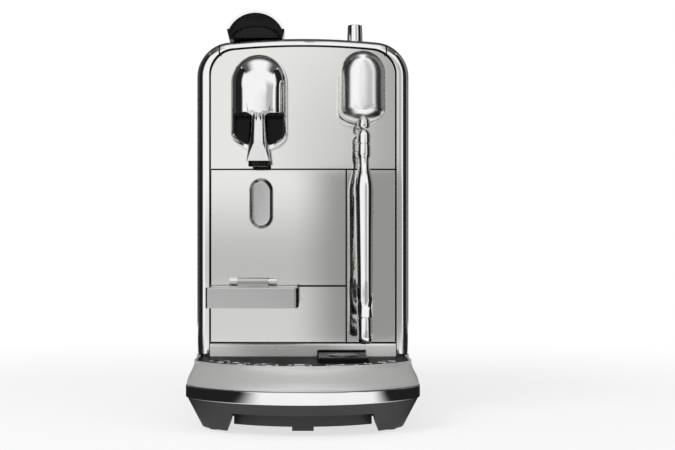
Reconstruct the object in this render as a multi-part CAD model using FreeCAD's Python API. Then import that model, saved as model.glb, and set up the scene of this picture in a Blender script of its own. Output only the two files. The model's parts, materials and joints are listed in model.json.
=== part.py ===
import FreeCAD, Part
import math
import os

Vec = FreeCAD.Vector
INWARD = Vec(0, 1, 0)
UP = Vec(0, 0, 1)

# A pod coffee machine with a steam wand, in millimetres.
# +X is the machine's right as seen from the front, +Y goes to the back, +Z is up.
# The origin is on the table, under the middle of the machine's box.

# Overall sizes
BASE_W = 170.0
DEPTH = 392.0
HALF = BASE_W / 2
FRONT_Y = -DEPTH / 2
BACK_Y = DEPTH / 2

# Fits: moving gap, seated gap, overrun of a cutter, pin play, fixed pin, small edge radius
GAP = 0.3
TOUCH = 0.1
OVER = 1.0
PIN_PLAY = 0.05
PIN_FIT = 0.02
SMALL_R = 0.6

# Base: legs, chrome band and deck
LEG_BOTTOM_Z = 1.6
RING_Z = 15.0
RING_INSET = 1.0
BAND_Z = 22.7
DECK_Z = 31.6
BAND_WALL = 2.0
FRONT_ARC_R = 93.0
FRONT_CORNER_R = 45.0
BACK_CORNER_R = 32.0
LEG_DRAFT = 11.0
LEG_INNER_TOP_X = 49.0
LEG_INNER_FOOT_X = 53.0
LEG_LENGTH = 70.0
LEG_SETBACK = 8.0
LEG_CLEAR = 0.6
DECK_WALL = 3.4

# Bottom pan, its cooling slots and tab, and the foot pads
PAN_INSET = 15.0
PAN_Z = 6.5
PAN_WALL = 2.4
PAN_SLOTS = 7
PAN_SLOT_Y = -40.0
PAN_SLOT_PITCH = 18.0
PAN_SLOT_HALF = 34.0
PAN_SLOT_W = 4.0
TAB_W = 15.0
TAB_LENGTH = 26.0
TAB_SETBACK = 1.5
TAB_Z = 3.5
PAD_W = 12.0
PAD_L = 22.0
PAD_R = 5.8
PAD_Y = (-135.0, 152.0)
PAD_SETIN = 2.0

# Cable gland in the back of the base
GLAND_X = -55.0
GLAND_Z = 40.0
GLAND_R = 5.1
GLAND_FLANGE_R = 6.6
GLAND_BORE_R = 3.4
GLAND_IN_Y = BACK_Y - 7.0
GLAND_SHOULDER_Y = BACK_Y - 2.95
GLAND_OUT_Y = BACK_Y - 0.8

# Flared skirt: side inset, front setback and height of each section, from the band up
FLARE = [(0.5, 0.6, 31.9), (1.6, 2.6, 36.2), (2.9, 6.0, 39.2), (4.9, 11.3, 43.6), (5.5, 13.0, 48.4)]
SKIRT_WALL = 1.6
SURROUND_TOP_HALF = 81.4

# Body outline, seen from the front
BODY_HALF = 81.4
BODY_TOP = 291.4
BODY_CORNER_R = 27.0
BODY_CROWN_R = 580.0
BODY_BOTTOM = 49.2
BODY_WALL = 2.5
BODY_HEM = 5.0
FRAME_FRONT = -77.0
FRAME_BACK = -68.5
FRAME_EDGE_R = 8.0
BODY_BACK = 110.0
COVER_SPLIT_X = 64.0
COVER_DEPTH = 30.0
SPLIT_GAP = 0.6

# Opening in the front frame and the crowned panels that fill it
OPEN_HALF = 71.8
OPEN_TOP = 285.7
OPEN_CORNER_R = 20.0
PANEL_CROWN_R = 1100.0
PANEL_DRUM_H = 400.0
PANEL_FRONT = -73.2
PANEL_BACK = -68.8
PANEL_EDGE = 0.6
PANEL_LOW_Z = 57.6
SHELF_SPLIT_Z = 101.4
DOOR_SPLIT_Z = 190.5
STEAM_SPLIT_X = 33.1
LINE = 0.4

# Back plate, its cooling slots and its screws
REAR_Y0 = BODY_BACK - 5.0
REAR_Y1 = BODY_BACK - 1.5
VENTS = 8
VENT_Z = 196.0
VENT_PITCH = 8.0
VENT_HALF = 38.0
VENT_W = 3.2
VENT_R = 1.5
SCREW_X = 70.0
SCREW_Z = (66.0, 150.0, 250.0)
SCREW_DOME_R = 4.4
SCREW_SINK = 2.6
SCREW_HEIGHT = 3.0
SCREW_SLOT_W = 1.0
SCREW_SLOT_L = 4.0
SCREW_SLOT_Y = 0.8

# Inner frame
SHELL_IN = 77.0
PLATE = 3.0
FLOOR_Z = 52.0
BIN_SHELF_Z = 101.0
BREW_SHELF_Z = 195.0
WALL_X = 37.0
WALL_T = 2.4
FRAME_Y0 = -62.0
FRAME_Y1 = 104.0
BREW_SHELF_Y1 = 62.0
POST_W = 10.0
CHUTE_X = (-56.0, -17.0)
CHUTE_Y = (-28.0, 20.0)
CHUTE_R = 6.0
HOSE_WAY = 6.0
HOSE_HOLE_R = 5.5

# Coffee outlet: hood
SPOUT_X = -33.5
HOOD_HALF = 22.0
HOOD_Z0 = 203.3
HOOD_Z1 = 279.5
HOOD_DEPTH = 31.0
HOOD_EDGE_R = 15.0
HOOD_PIPE_IN = 10.0
VISOR_Z = 231.0
VISOR_WALL = 5.0
NICHE_WALL = 5.0
NICHE_ROOF = 12.0
NICHE_BACK = 6.0
SPOUT_SLOT_HALF = 11.5
SPOUT_SLOT_BACK = -86.0

# Coffee outlet: spout mouth as width, depth and place, then the sections above it with their heights
SPOUT_MOUTH = (18.5, 14.5, -98.5)
SPOUT_RISE = [(15.5, 14.0, -96.5, 205.0), (12.5, 13.0, -93.0, 222.0), (11.5, 12.0, -90.5, 238.0)]
SPOUT_ROUND = 0.42
SPOUT_END_Z = 195.5
SPOUT_PIPE_Z = 244.0
SPOUT_PIPE_R = 6.0
SPOUT_PIPE_Y = -90.5
SPOUT_ELBOW_R = 6.4
SPOUT_BORE_R = 3.6
SPOUT_WALL = 1.5
PIPE_END_Y = -63.0
LINER_END_Z = 191.4
LINER_TOP_Z = 209.5
LINER_ROOM = 0.5
JET_R = 2.2
JET_X = 3.6
JET_Y = (-98.2, -97.0)
JET_TOP_Z = 206.0

# Steam head
STEAM_X = 44.6
STEAM_HALF = 17.2
STEAM_Z0 = 224.7
STEAM_Z1 = 278.3
STEAM_STANDOFF = 3.0
STEAM_DEPTH = 42.0
STEAM_EDGE_R = 15.5
STEAM_BACK_R = 7.0
STEAM_NECK_INSET = 7.5
STEAM_NECK_DROP = 8.0
STEAM_PIPE_X = 52.0
STEAM_PIPE_Z = 250.0
STEAM_STUB_R = 4.1
STEAM_STUB_IN = 4.0

# Fork and wand; each wand profile is a list of radius and drop below the pivot
WAND_X = 45.5
WAND_Y = -101.0
WAND_Z = 213.2
WAND_LEAN = 8.0
KNUCKLE_R = 6.4
KNUCKLE_HALF = 4.9
WAND_PIN_R = 1.6
WAND_PIN_RUN = 9.0
EAR_T = 2.0
EAR_HALF = 6.0
EAR_RISE = 9.0
FORK_STEM_R = 6.0
FORK_STEM_RISE = 8.0
FORK_STEM_IN = 5.0
FORK_DISC_R = 7.6
FORK_DISC_RISE = 7.4
FORK_DISC_T = 3.0
KNUCKLE_PROFILE = [(4.4, 3.0), (4.4, 8.0), (3.6, 10.0), (3.6, 17.0), (4.6, 20.5)]
GRIP_PROFILE = [(4.6, 20.5), (7.4, 23.0), (8.4, 28.0), (8.4, 36.0), (7.4, 41.5), (6.1, 44.5)]
WAND_LENGTH = 155.0
WAND_TIP_DROP = 136.0
TUBE_PROFILE = [(6.0, 44.5), (5.6, 80.0), (5.3, WAND_TIP_DROP)]
TIP_PROFILE = [(5.0, WAND_TIP_DROP), (5.0, 136.7), (5.3, 136.7), (5.2, 150.5), (4.4, 153.5), (2.6, WAND_LENGTH)]
TIP_JETS = 4
TIP_JET_R = 0.6
TIP_JET_RUN = 12.0
TIP_JET_DROP = 149.0

# Capsule bin and its door
BIN_X0 = -68.0
BIN_X1 = 30.0
BIN_BACK = 58.0
BIN_TOP = 187.0
BIN_WALL = 2.0
BIN_LIFT = 0.5
BIN_R = 5.0
BIN_INNER_R = 3.5
DOOR_BACK = -64.6
GRIP_X = -32.0
GRIP_HALF = 9.3
GRIP_TOP = 184.0
GRIP_LOW = 145.0
GRIP_DEPTH = 5.6

# Cup support hinged on the door
CUP_X0 = -70.6
CUP_X1 = -4.0
CUP_TOP = 101.5
CUP_LIP = 15.0
CUP_BACK = -74.0
CUP_DEPTH = 62.0
CUP_SHEET = 1.8
CUP_CORNER_R = 2.4
CUP_EDGE_R = 0.9
CUP_HINGE_X0 = -56.0
CUP_HINGE_X1 = -20.0
CUP_HINGE_Y = -79.0
CUP_HINGE_Z = 105.0
CUP_HINGE_R = 2.9
CUP_PIN_R = 1.3
CUP_LUG_W = 6.0
CUP_LUG_DROP = 1.5
CUP_LUG_IN = 2.0
CUP_LUG_GAP = 0.4
CUP_WEB_HALF = 2.0

# Drip tray: side inset and front setback of the basin, its flange, its hollow and the plate on it
TRAY_BACK = -76.0
TRAY_FLOOR_Z = 32.1
BASIN_OUTER = (8.5, 17.0)
BASIN_FLANGE = (7.2, 14.8)
BASIN_INNER = (10.5, 19.0)
TRAY_PLATE = (7.4, 15.0)
BASIN_WALL = 2.0
BASIN_TOP = 46.0
GRID_T = 1.5
LEDGE_HALF = 71.0
LEDGE_T = 3.5
LEDGE_TOP = 57.0
LEDGE_R = 1.4
PLATE_BACK = TRAY_BACK - LEDGE_T - GAP

# Drain holes stand on a circle: angle from the front, circle radius, and length along and across it
HOLE_Y = FRONT_Y + FRONT_ARC_R
GRID_HOLES = [(-62.0, 68.5, 16.0, 12.0), (-42.0, 68.5, 16.0, 12.0), (-22.0, 68.5, 16.0, 12.0),
              (-2.0, 68.5, 16.0, 12.0)]
DECK_HOLES = [(20.0, 71.5, 16.0, 8.0), (35.0, 71.5, 16.0, 8.0), (58.0, 71.5, 16.0, 8.0)]

# Jug sensor
SENSOR_X0 = 11.7
SENSOR_X1 = 47.4
SENSOR_MID = (SENSOR_X0 + SENSOR_X1) / 2
SENSOR_Y0 = -140.0
SENSOR_TOP = 51.0
SENSOR_R = 3.0
SENSOR_EDGE_R = 1.2
SENSOR_ROOM = 0.8
SENSOR_DISC_R = 11.0
SENSOR_DISC_Y = -119.0
SENSOR_DISC_T = 2.9
SENSOR_DISC_EDGE = 0.8
SENSOR_PROUD = 0.9
SENSOR_WELL = 4.0

# Lever; each station is its place, half width, spring height and crown height
LEVER_X = -36.5
LEVER_LOW = 291.9
LEVER_TOP = 314.0
LEVER_FOOT_IN = 1.8
LEVER_FRONT = -71.0
LEVER_STATIONS = [(LEVER_FRONT, 22.2, 299.3, 313.4), (-40.0, 22.5, 299.5, LEVER_TOP),
                  (-10.0, 21.6, 298.8, 309.5), (18.0, 19.5, 296.5, 302.0)]
LEVER_SKIN = 2.0
SKIN_LINE = [(-80.0, 299.4), (30.0, 294.6)]
NOSE_SETBACK = 2.5
SCOOP_R = 34.0
SCOOP_Y = LEVER_FRONT - 26.0
SCOOP_Z = 302.5
PIVOT_Y = 28.0
PIVOT_Z = 281.5
PIVOT_PIN_R = 3.0
PIVOT_PIN_INSET = 0.4
BARREL_R = 8.2
BARREL_HALF = 17.3
NECK_Y = (6.0, 20.0)
NECK_DROP = 4.0
NECK_IN = 2.0
CRANK_R = 20.0
CRANK_REST = 37.5
CRANK_PIN_R = 3.0
CRANK_ARM_R = 5.0
CRANK_ARM_X = (13.5, 17.0)
CRANK_PIN_X = (13.5, 20.8)
CRANK_SLOT_PLAY = 0.75

# Lever slot in the top
SLOT_X0 = -55.2
SLOT_X1 = -17.8
SLOT_Y0 = -46.0
SLOT_Y1 = 37.2
SLOT_R = 3.0

# Brew unit
BREW_HALF = 26.0
BREW_Y0 = -60.0
BREW_Y1 = 54.0
BREW_TOP = 287.0
BREW_FRONT_TOP = 266.0
BREW_ROOF_GAP = 0.6
BREW_PIPE_R = 6.5
RAIL_X = 18.0
RAIL_Z = (247.6, 251.6)
CHAMBER_Z = 232.0
HEAD_HALF = 16.5
HEAD_Y = (6.0, 46.0)
HEAD_TOP = 254.0
HEAD_CUP_Y = -10.0
HEAD_CUP_R = 14.2
HEAD_CUP_END = 4.0
HEAD_INLET_R = 3.0
HEAD_INLET_Y = (40.0, 50.0)
HEAD_ARCH_HALF = 12.0
HEAD_ARCH_Z = (197.0, 212.0)
CARRIAGE_HALF = 17.4
CARRIAGE_Y = (-30.0, -23.0)
CARRIAGE_Z = (212.0, 262.0)
CARRIAGE_SEAT_R = 15.0
CARRIAGE_SEAT_T = 2.0
DRAWBAR_X = (17.8, 21.2)
DRAWBAR_Z = (252.0, 258.0)
DRAWBAR_LUG_HALF = 10.0
DRAWBAR_LUG_TOP = 272.0
DRAWBAR_SLOT_Z = (256.5, 275.0)

# Controls on the top
CONTROL_Y = (-70.0, 60.0)
CONTROL_LOW_Z = 272.0
CONTROL_CUT = 12.0
DIAL_X = 40.8
DIAL_Y = -49.0
DIAL_R = 6.1
DIAL_TAPER = 0.5
DIAL_EDGE_R = 0.7
DIAL_GAP = 0.5
DIAL_TOP = 305.0
DIAL_SHAFT_R = 3.0
DIAL_HOLE_R = 3.4
DIAL_SHAFT_Z = 277.0
DIAL_FLAT_Y = 2.2
DIAL_WELL_Z = 276.0
BUTTON_X = 12.0
BUTTON_Y = -49.0
BUTTON_R = 5.0
BUTTON_PROUD = 1.7
BUTTON_LOW_Z = 282.5
BUTTON_WELL_Z = 280.0
SWITCH_HALF = 8.0
LENS_X0 = -4.0
LENS_X1 = 58.0
LENS_Y0 = -34.0
LENS_Y1 = 14.0
LENS_R = 4.0
LENS_T = 1.6
MODULE_RIM = 2.0

# Water tank, its lid, its valve and its dock
TANK_HALF = 74.0
TANK_Y0 = 114.0
TANK_Y1 = 188.0
TANK_Z0 = 40.0
TANK_Z1 = 268.0
TANK_WALL = 2.6
TANK_CORNER_R = 22.0
TANK_EDGE_R = 3.0
LID_T = 8.0
LID_WALL = 4.0
LID_ROOF = 2.4
LID_GAP = 0.4
LID_GRIP_R = 14.0
LID_GRIP_Y = 12.0
LID_GRIP_Z = 12.6
LID_Y = TANK_Y1 + 3.4
LID_Z = TANK_Z1 + 3.4
LID_PIN_R = 1.5
LID_PIN_HALF = 48.0
LID_BARREL_R = 3.0
TANK_LUG_X = (-48.0, 40.0)
TANK_LUG_W = 8.0
TANK_LUG_DROP = 12.0
TANK_LUG_GAP = 0.6
LID_LUG_X = (-39.6, 30.0)
LID_LUG_W = 9.6
LID_LUG_DROP = 2.0
VALVE_X = 36.0
VALVE_Y = 140.0
VALVE_R = 8.6
VALVE_LOW_Z = 33.5
VALVE_STEM_R = 5.8
VALVE_STEM_RISE = 8.0
VALVE_BORE_R = 3.0
VALVE_HOLE_R = 6.0
DOCK_HALF = 66.0
DOCK_SETIN = (4.0, 6.0)
DOCK_R = 16.0
DOCK_FLOOR = 1.2
DOCK_SOCKET_R = 9.2
SPIGOT_R = 3.0
SPIGOT_RUN = (-4.0, 8.0)
INLET_Z = 35.8

# Water path inside the body
HOSE_R = 4.0
FEED_Y = 97.0
PUMP_Y = 0.0
PUMP_Z = 75.0
PUMP_X = (-54.0, 14.0)
PUMP_R = 15.0
COIL_X = (-40.0, 0.0)
COIL_R = 19.0
PORT_RUN = 8.0
SADDLE_X = (-52.0, 3.0)
SADDLE_W = 9.0
SADDLE_HALF = 14.0
SADDLE_TOP = 70.0
METER_Y = 72.0
METER_R = 13.0
METER_HALF = 15.0
METER_TOP = 86.0
RISER_X = -68.0

# Heaters and control board
HEATER_X = (-74.0, 6.0)
HEATER_Y = (70.0, 98.0)
HEATER_MID_Y = 84.0
HEATER_LIFT = 3.0
HEATER_TOP = 186.0
HEATER_FOOT_X = (-58.0, -4.0)
HEATER_FOOT_W = 6.0
HEATER_FOOT_SETIN = 4.0
HEATER_PORT_Z = 190.0
HEATER_GROOVES = 8
HEATER_GROOVE_Z = 112.0
HEATER_GROOVE_PITCH = 9.0
HEATER_GROOVE = (4.0, 3.0)
BOILER_X = 57.0
BOILER_Z = 140.0
BOILER_R = 15.0
BOILER_HALF = 40.0
BOILER_CAP_R = 17.0
BOILER_CAP_T = 4.0
BOILER_CAP_OUT = 2.0
BOILER_FLANGE_X = 47.0
BOILER_FLANGE_HALF = (20.0, 8.0)
BOILER_PORT_Z = (150.0, 174.0)
BOARD_X = (2.0, 44.0)
BOARD_Y = (-50.0, 58.0)
BOARD_Z = 201.0
BOARD_TOP = 202.6
BOARD_POST_R = 3.0
BOARD_POST_SETIN = 4.0
RELAYS = [(8.0, 24.0, -36.0, -16.0, 218.0), (8.0, 24.0, -8.0, 12.0, 218.0), (28.0, 40.0, -30.0, 10.0, 224.0)]
CAN_X = (12.0, 25.0, 38.0)
CAN_Y = 34.0
CAN_R = 5.0
CAN_TOP = 222.0


def box(x0, x1, y0, y1, z0, z1):
    return Part.makeBox(x1 - x0, y1 - y0, z1 - z0, Vec(x0, y0, z0))


def rod_x(radius, x0, x1, y, z):
    return Part.makeCylinder(radius, x1 - x0, Vec(x0, y, z), Vec(1, 0, 0))


def rod_y(radius, x, y0, y1, z):
    return Part.makeCylinder(radius, y1 - y0, Vec(x, y0, z), INWARD)


def rod_z(radius, x, y, z0, z1):
    return Part.makeCylinder(radius, z1 - z0, Vec(x, y, z0), UP)


def fuse(first, *others):
    return first.multiFuse(list(others)).removeSplitter()


def beside(middle, side, near, far):
    """Low and high x of a piece between two distances from a middle, on one side of it."""
    return sorted((middle + side * near, middle + side * far))


def run_of(edge):
    return edge.Vertexes[-1].Point - edge.Vertexes[0].Point


def edges_along(shape, axis):
    picked = []
    for edge in shape.Edges:
        if len(edge.Vertexes) == 2 and edge.Curve.TypeId == "Part::GeomLine":
            if abs(run_of(edge).normalize().dot(axis)) > 0.999:
                picked.append(edge)
    return picked


def edges_at(shape, axis, level):
    picked = []
    for edge in shape.Edges:
        points = edge.discretize(5)
        if all(abs(point.dot(axis) - level) < 1e-4 for point in points):
            picked.append(edge)
    return picked


def slab(x0, x1, y0, y1, z0, z1, radius):
    """Block with round upright corners."""
    block = box(x0, x1, y0, y1, z0, z1)
    return block.makeFillet(radius, edges_along(block, UP))


def line(start, end):
    return Part.LineSegment(start, end).toShape()


def arc(start, middle, end):
    return Part.Arc(start, middle, end).toShape()


def polygon_face(points):
    return Part.Face(Part.makePolygon(points + points[:1]))


def mirrored(point):
    return Vec(-point.x, point.y, point.z)


def plan_wire(side_inset, front_inset, back_inset, z):
    """Base outline: bowed front, eased front corners, straight sides, round back corners."""
    half = HALF - side_inset
    front = FRONT_Y + front_inset
    back = BACK_Y - back_inset
    bow = FRONT_ARC_R - side_inset
    ease = FRONT_CORNER_R - side_inset
    turn = BACK_CORNER_R - side_inset
    bow_middle = front + bow
    ease_x = half - ease
    reach = math.sqrt((bow - ease) ** 2 - ease_x ** 2)
    ease_y = bow_middle - reach
    way = Vec(ease_x, -reach, 0).normalize()
    meet = Vec(0, bow_middle, z) + way * bow
    halfway = Vec(ease_x, ease_y, z) + (way + Vec(1, 0, 0)).normalize() * ease
    diagonal = turn * math.sqrt(0.5)
    side_low = Vec(half, ease_y, z)
    side_high = Vec(half, back - turn, z)
    corner = Vec(half - turn + diagonal, back - turn + diagonal, z)
    back_end = Vec(half - turn, back, z)
    return Part.Wire([
        arc(mirrored(meet), Vec(0, front, z), meet),
        arc(meet, halfway, side_low),
        line(side_low, side_high),
        arc(side_high, corner, back_end),
        line(back_end, mirrored(back_end)),
        arc(mirrored(back_end), mirrored(corner), mirrored(side_high)),
        line(mirrored(side_high), mirrored(side_low)),
        arc(mirrored(side_low), mirrored(halfway), mirrored(meet)),
    ])


def plan_prism(inset, z0, z1):
    return Part.Face(plan_wire(inset, inset, inset, z0)).extrude(Vec(0, 0, z1 - z0))


def arch_face(half, top, corner, crown, bottom, y):
    """Body outline seen from the front: straight sides, round corners, slightly crowned top."""
    crown_middle = top - crown
    corner_x = half - corner
    rise = math.sqrt((crown - corner) ** 2 - corner_x ** 2)
    corner_z = crown_middle + rise
    way = Vec(corner_x, 0, rise).normalize()
    meet = Vec(0, y, crown_middle) + way * crown
    halfway = Vec(corner_x, y, corner_z) + (way + Vec(1, 0, 0)).normalize() * corner
    foot = Vec(half, y, bottom)
    shoulder = Vec(half, y, corner_z)
    return Part.Face(Part.Wire([
        line(mirrored(foot), foot),
        line(foot, shoulder),
        arc(shoulder, halfway, meet),
        arc(meet, Vec(0, y, top), mirrored(meet)),
        arc(mirrored(meet), mirrored(halfway), mirrored(shoulder)),
        line(mirrored(shoulder), mirrored(foot)),
    ]))


def body_prism(inset, y0, y1):
    face = arch_face(BODY_HALF - inset, BODY_TOP - inset, BODY_CORNER_R - inset,
                     BODY_CROWN_R - inset, BODY_BOTTOM, y0)
    return face.extrude(Vec(0, y1 - y0, 0))


def opening_prism(inset, y0, y1):
    face = arch_face(OPEN_HALF - inset, OPEN_TOP - inset, OPEN_CORNER_R - inset,
                     BODY_CROWN_R - (BODY_TOP - OPEN_TOP) - inset, BODY_BOTTOM - OVER, y0)
    return face.extrude(Vec(0, y1 - y0, 0))


def stadium_prism(x, half, z0, z1, y0, y1):
    """Upright pill outline, carried from y0 to y1."""
    low = z0 + half
    high = z1 - half
    outline = Part.Wire([
        line(Vec(x + half, y0, low), Vec(x + half, y0, high)),
        arc(Vec(x + half, y0, high), Vec(x, y0, z1), Vec(x - half, y0, high)),
        line(Vec(x - half, y0, high), Vec(x - half, y0, low)),
        arc(Vec(x - half, y0, low), Vec(x, y0, z0), Vec(x + half, y0, low)),
    ])
    return Part.Face(outline).extrude(Vec(0, y1 - y0, 0))


def leg_frustum():
    """The whole drafted underside from which the ring and the legs are taken."""
    foot_inset = RING_INSET + LEG_DRAFT
    top = plan_wire(RING_INSET, RING_INSET, RING_INSET, BAND_Z)
    low = plan_wire(foot_inset, foot_inset, foot_inset, LEG_BOTTOM_Z)
    return Part.makeLoft([low, top], True, True)


def leg_zone(side, y0, y1):
    """Space of one leg, with its slanted inner side."""
    top = RING_Z + OVER
    return polygon_face([
        Vec(side * BASE_W, y0, top),
        Vec(side * LEG_INNER_TOP_X, y0, top),
        Vec(side * LEG_INNER_FOOT_X, y0, LEG_BOTTOM_Z),
        Vec(side * BASE_W, y0, LEG_BOTTOM_Z),
    ]).extrude(Vec(0, y1 - y0, 0))


def leg_spans():
    front = FRONT_Y + LEG_SETBACK
    back = BACK_Y - LEG_SETBACK
    return [(front, front + LEG_LENGTH), (back - LEG_LENGTH, back)]


def base_chassis():
    """Black base: drafted ring, four legs and the flat deck that carries tray and body."""
    whole = leg_frustum()
    ring = whole.common(box(-HALF, HALF, FRONT_Y, BACK_Y, RING_Z, BAND_Z))
    legs = []
    for y0, y1 in leg_spans():
        for side in (-1, 1):
            legs.append(whole.common(leg_zone(side, y0, y1)))
    core = plan_prism(BAND_WALL + TOUCH, BAND_Z, DECK_Z)
    hollow = plan_prism(PAN_INSET - OVER, RING_Z - OVER, DECK_Z - DECK_WALL)
    return fuse(ring, core, *legs).cut(hollow).removeSplitter()


def base_pan():
    """Bottom pan with cooling slots and the small tab at its front."""
    outer = plan_prism(PAN_INSET, PAN_Z, DECK_Z - DECK_WALL)
    inner = plan_prism(PAN_INSET + PAN_WALL, PAN_Z + PAN_WALL, DECK_Z)
    tab_front = FRONT_Y + PAN_INSET + TAB_SETBACK
    tab = box(-TAB_W / 2, TAB_W / 2, tab_front, tab_front + TAB_LENGTH, TAB_Z, PAN_Z + OVER)
    cuts = []
    for y0, y1 in leg_spans():
        for side in (-1, 1):
            x0, x1 = beside(0, side, LEG_INNER_TOP_X - LEG_CLEAR, HALF)
            cuts.append(box(x0, x1, y0 - LEG_CLEAR, y1 + LEG_CLEAR, 0, RING_Z + TOUCH))
    for row in range(PAN_SLOTS):
        y = PAN_SLOT_Y + PAN_SLOT_PITCH * row
        cuts.append(slab(-PAN_SLOT_HALF, PAN_SLOT_HALF, y - PAN_SLOT_W / 2, y + PAN_SLOT_W / 2,
                         PAN_Z - OVER, PAN_Z + PAN_WALL + OVER, PAN_SLOT_W / 2 - TOUCH))
    return outer.cut(inner).fuse(tab).cut(Part.makeCompound(cuts))


def foot_pads():
    """Rubber pad under each leg, four separate solids."""
    pads = []
    near = LEG_INNER_FOOT_X + PAD_SETIN
    for middle in PAD_Y:
        for side in (-1, 1):
            x0, x1 = beside(0, side, near, near + PAD_W)
            pad = slab(x0, x1, middle - PAD_L / 2, middle + PAD_L / 2, 0, LEG_BOTTOM_Z, PAD_R)
            pads.append(pad.makeFillet(SMALL_R, edges_at(pad, UP, 0)))
    return Part.makeCompound(pads)


def base_band():
    """Polished band round the base."""
    ring = plan_prism(0, BAND_Z, DECK_Z).cut(plan_prism(BAND_WALL, BAND_Z - OVER, DECK_Z + OVER))
    rim = edges_at(ring, UP, BAND_Z) + edges_at(ring, UP, DECK_Z)
    return ring.makeFillet(SMALL_R, rim)


def base_surround():
    """Fixed flare round the back half of the base, up to the side panels."""
    outer = []
    inner = []
    top_inset = HALF - SURROUND_TOP_HALF
    for side, front, z in FLARE:
        inset = top_inset * side / FLARE[-1][0]
        outer.append(plan_wire(inset, front, inset, z))
        inner.append(plan_wire(inset + SKIRT_WALL, front, inset + SKIRT_WALL, z))
    shell = Part.makeLoft(outer, True, False).cut(Part.makeLoft(inner, True, False))
    shell = shell.common(box(-HALF, HALF, TRAY_BACK + OVER, BACK_Y, DECK_Z, BODY_BOTTOM))
    bore = rod_y(GLAND_R + TOUCH, GLAND_X, GLAND_IN_Y - OVER, BACK_Y + OVER, GLAND_Z)
    pocket = rod_y(GLAND_FLANGE_R + TOUCH, GLAND_X, GLAND_SHOULDER_Y, BACK_Y + OVER, GLAND_Z)
    return shell.cut(bore.fuse(pocket))


def cable_gland():
    """Bush in the back of the base where the lead goes in."""
    body = rod_y(GLAND_R, GLAND_X, GLAND_IN_Y, GLAND_OUT_Y, GLAND_Z)
    flange = rod_y(GLAND_FLANGE_R, GLAND_X, GLAND_SHOULDER_Y, GLAND_OUT_Y, GLAND_Z)
    bore = rod_y(GLAND_BORE_R, GLAND_X, GLAND_IN_Y - OVER, GLAND_OUT_Y + OVER, GLAND_Z)
    return fuse(body, flange).cut(bore)


def body_shell():
    """Folded outer skin with its polished front frame, before it is split into three."""
    skin = body_prism(0, FRAME_FRONT, BODY_BACK)
    rim = [edge for edge in edges_at(skin, INWARD, FRAME_FRONT) if edge.BoundBox.ZMax > BODY_BOTTOM + OVER]
    skin = skin.makeFillet(FRAME_EDGE_R, rim)
    skin = skin.cut(body_prism(BODY_WALL, FRAME_BACK, BODY_BACK + OVER))
    skin = skin.cut(box(BODY_WALL - BODY_HALF, BODY_HALF - BODY_WALL, FRAME_BACK, BODY_BACK + OVER,
                        BODY_BOTTOM - OVER, BODY_BOTTOM + BODY_HEM))
    return skin.cut(opening_prism(0, FRAME_FRONT - OVER, FRAME_BACK + OVER))


def side_panel(side):
    """Side of the skin with its part of the front frame."""
    x0, x1 = beside(0, side, COVER_SPLIT_X + SPLIT_GAP / 2, BODY_HALF + OVER)
    return body_shell().common(box(x0, x1, FRAME_FRONT - OVER, BODY_BACK + OVER, BODY_BOTTOM, BODY_TOP + OVER))


def crown_z(x):
    """Height of the crowned top at x."""
    return BODY_TOP - x ** 2 / (2 * BODY_CROWN_R)


def top_cover():
    """Crowned top with the lever slot, the display window and holes for the dial and button."""
    split = COVER_SPLIT_X - SPLIT_GAP / 2
    cover = body_shell().common(box(-split, split, FRAME_FRONT - OVER, BODY_BACK + OVER,
                                    BODY_TOP - COVER_DEPTH, BODY_TOP + OVER))
    deep = BODY_TOP - CONTROL_CUT
    high = BODY_TOP + OVER
    slot = slab(SLOT_X0, SLOT_X1, SLOT_Y0, SLOT_Y1, deep, high, SLOT_R)
    window = slab(LENS_X0 - TOUCH, LENS_X1 + TOUCH, LENS_Y0 - TOUCH, LENS_Y1 + TOUCH, deep, high, LENS_R)
    dial_hole = rod_z(DIAL_HOLE_R, DIAL_X, DIAL_Y, deep, high)
    button_hole = rod_z(BUTTON_R + GAP, BUTTON_X, BUTTON_Y, deep, high)
    return cover.cut(Part.makeCompound([slot, window, dial_hole, button_hole]))


def display_lens():
    """Dark window set flush in the top."""
    pane = slab(LENS_X0, LENS_X1, LENS_Y0, LENS_Y1, BODY_TOP - CONTROL_CUT, BODY_TOP + OVER, LENS_R - TOUCH)
    return pane.common(body_prism(0, *CONTROL_Y)).cut(body_prism(LENS_T, *CONTROL_Y))


def under_top():
    """Room below the top's skin."""
    return body_prism(BODY_WALL + TOUCH, *CONTROL_Y)


def display_module():
    """Display and its carrier, under the window."""
    carrier = box(LENS_X0 - MODULE_RIM, LENS_X1 + MODULE_RIM, LENS_Y0 - MODULE_RIM, LENS_Y1 + MODULE_RIM,
                  CONTROL_LOW_Z, BODY_TOP)
    return carrier.common(under_top())


def switch_block(x, y, bore, well):
    block = box(x - SWITCH_HALF, x + SWITCH_HALF, y - SWITCH_HALF, y + SWITCH_HALF, CONTROL_LOW_Z, BODY_TOP)
    return block.common(under_top()).cut(rod_z(bore, x, y, well, BODY_TOP))


def control_switches():
    """Turn switch of the dial and push switch of the button, two separate solids."""
    turn = switch_block(DIAL_X, DIAL_Y, DIAL_HOLE_R, DIAL_WELL_Z)
    push = switch_block(BUTTON_X, BUTTON_Y, BUTTON_R + GAP, BUTTON_WELL_Z)
    return Part.makeCompound([turn, push])


def rear_cover():
    """Back plate with a row of cooling slots."""
    plate = body_prism(BODY_WALL + TOUCH, REAR_Y0, REAR_Y1)
    vents = []
    for row in range(VENTS):
        z = VENT_Z + VENT_PITCH * row
        vent = box(-VENT_HALF, VENT_HALF, REAR_Y0 - OVER, REAR_Y1 + OVER, z - VENT_W / 2, z + VENT_W / 2)
        vents.append(vent.makeFillet(VENT_R, edges_along(vent, INWARD)))
    return plate.cut(Part.makeCompound(vents))


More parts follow.
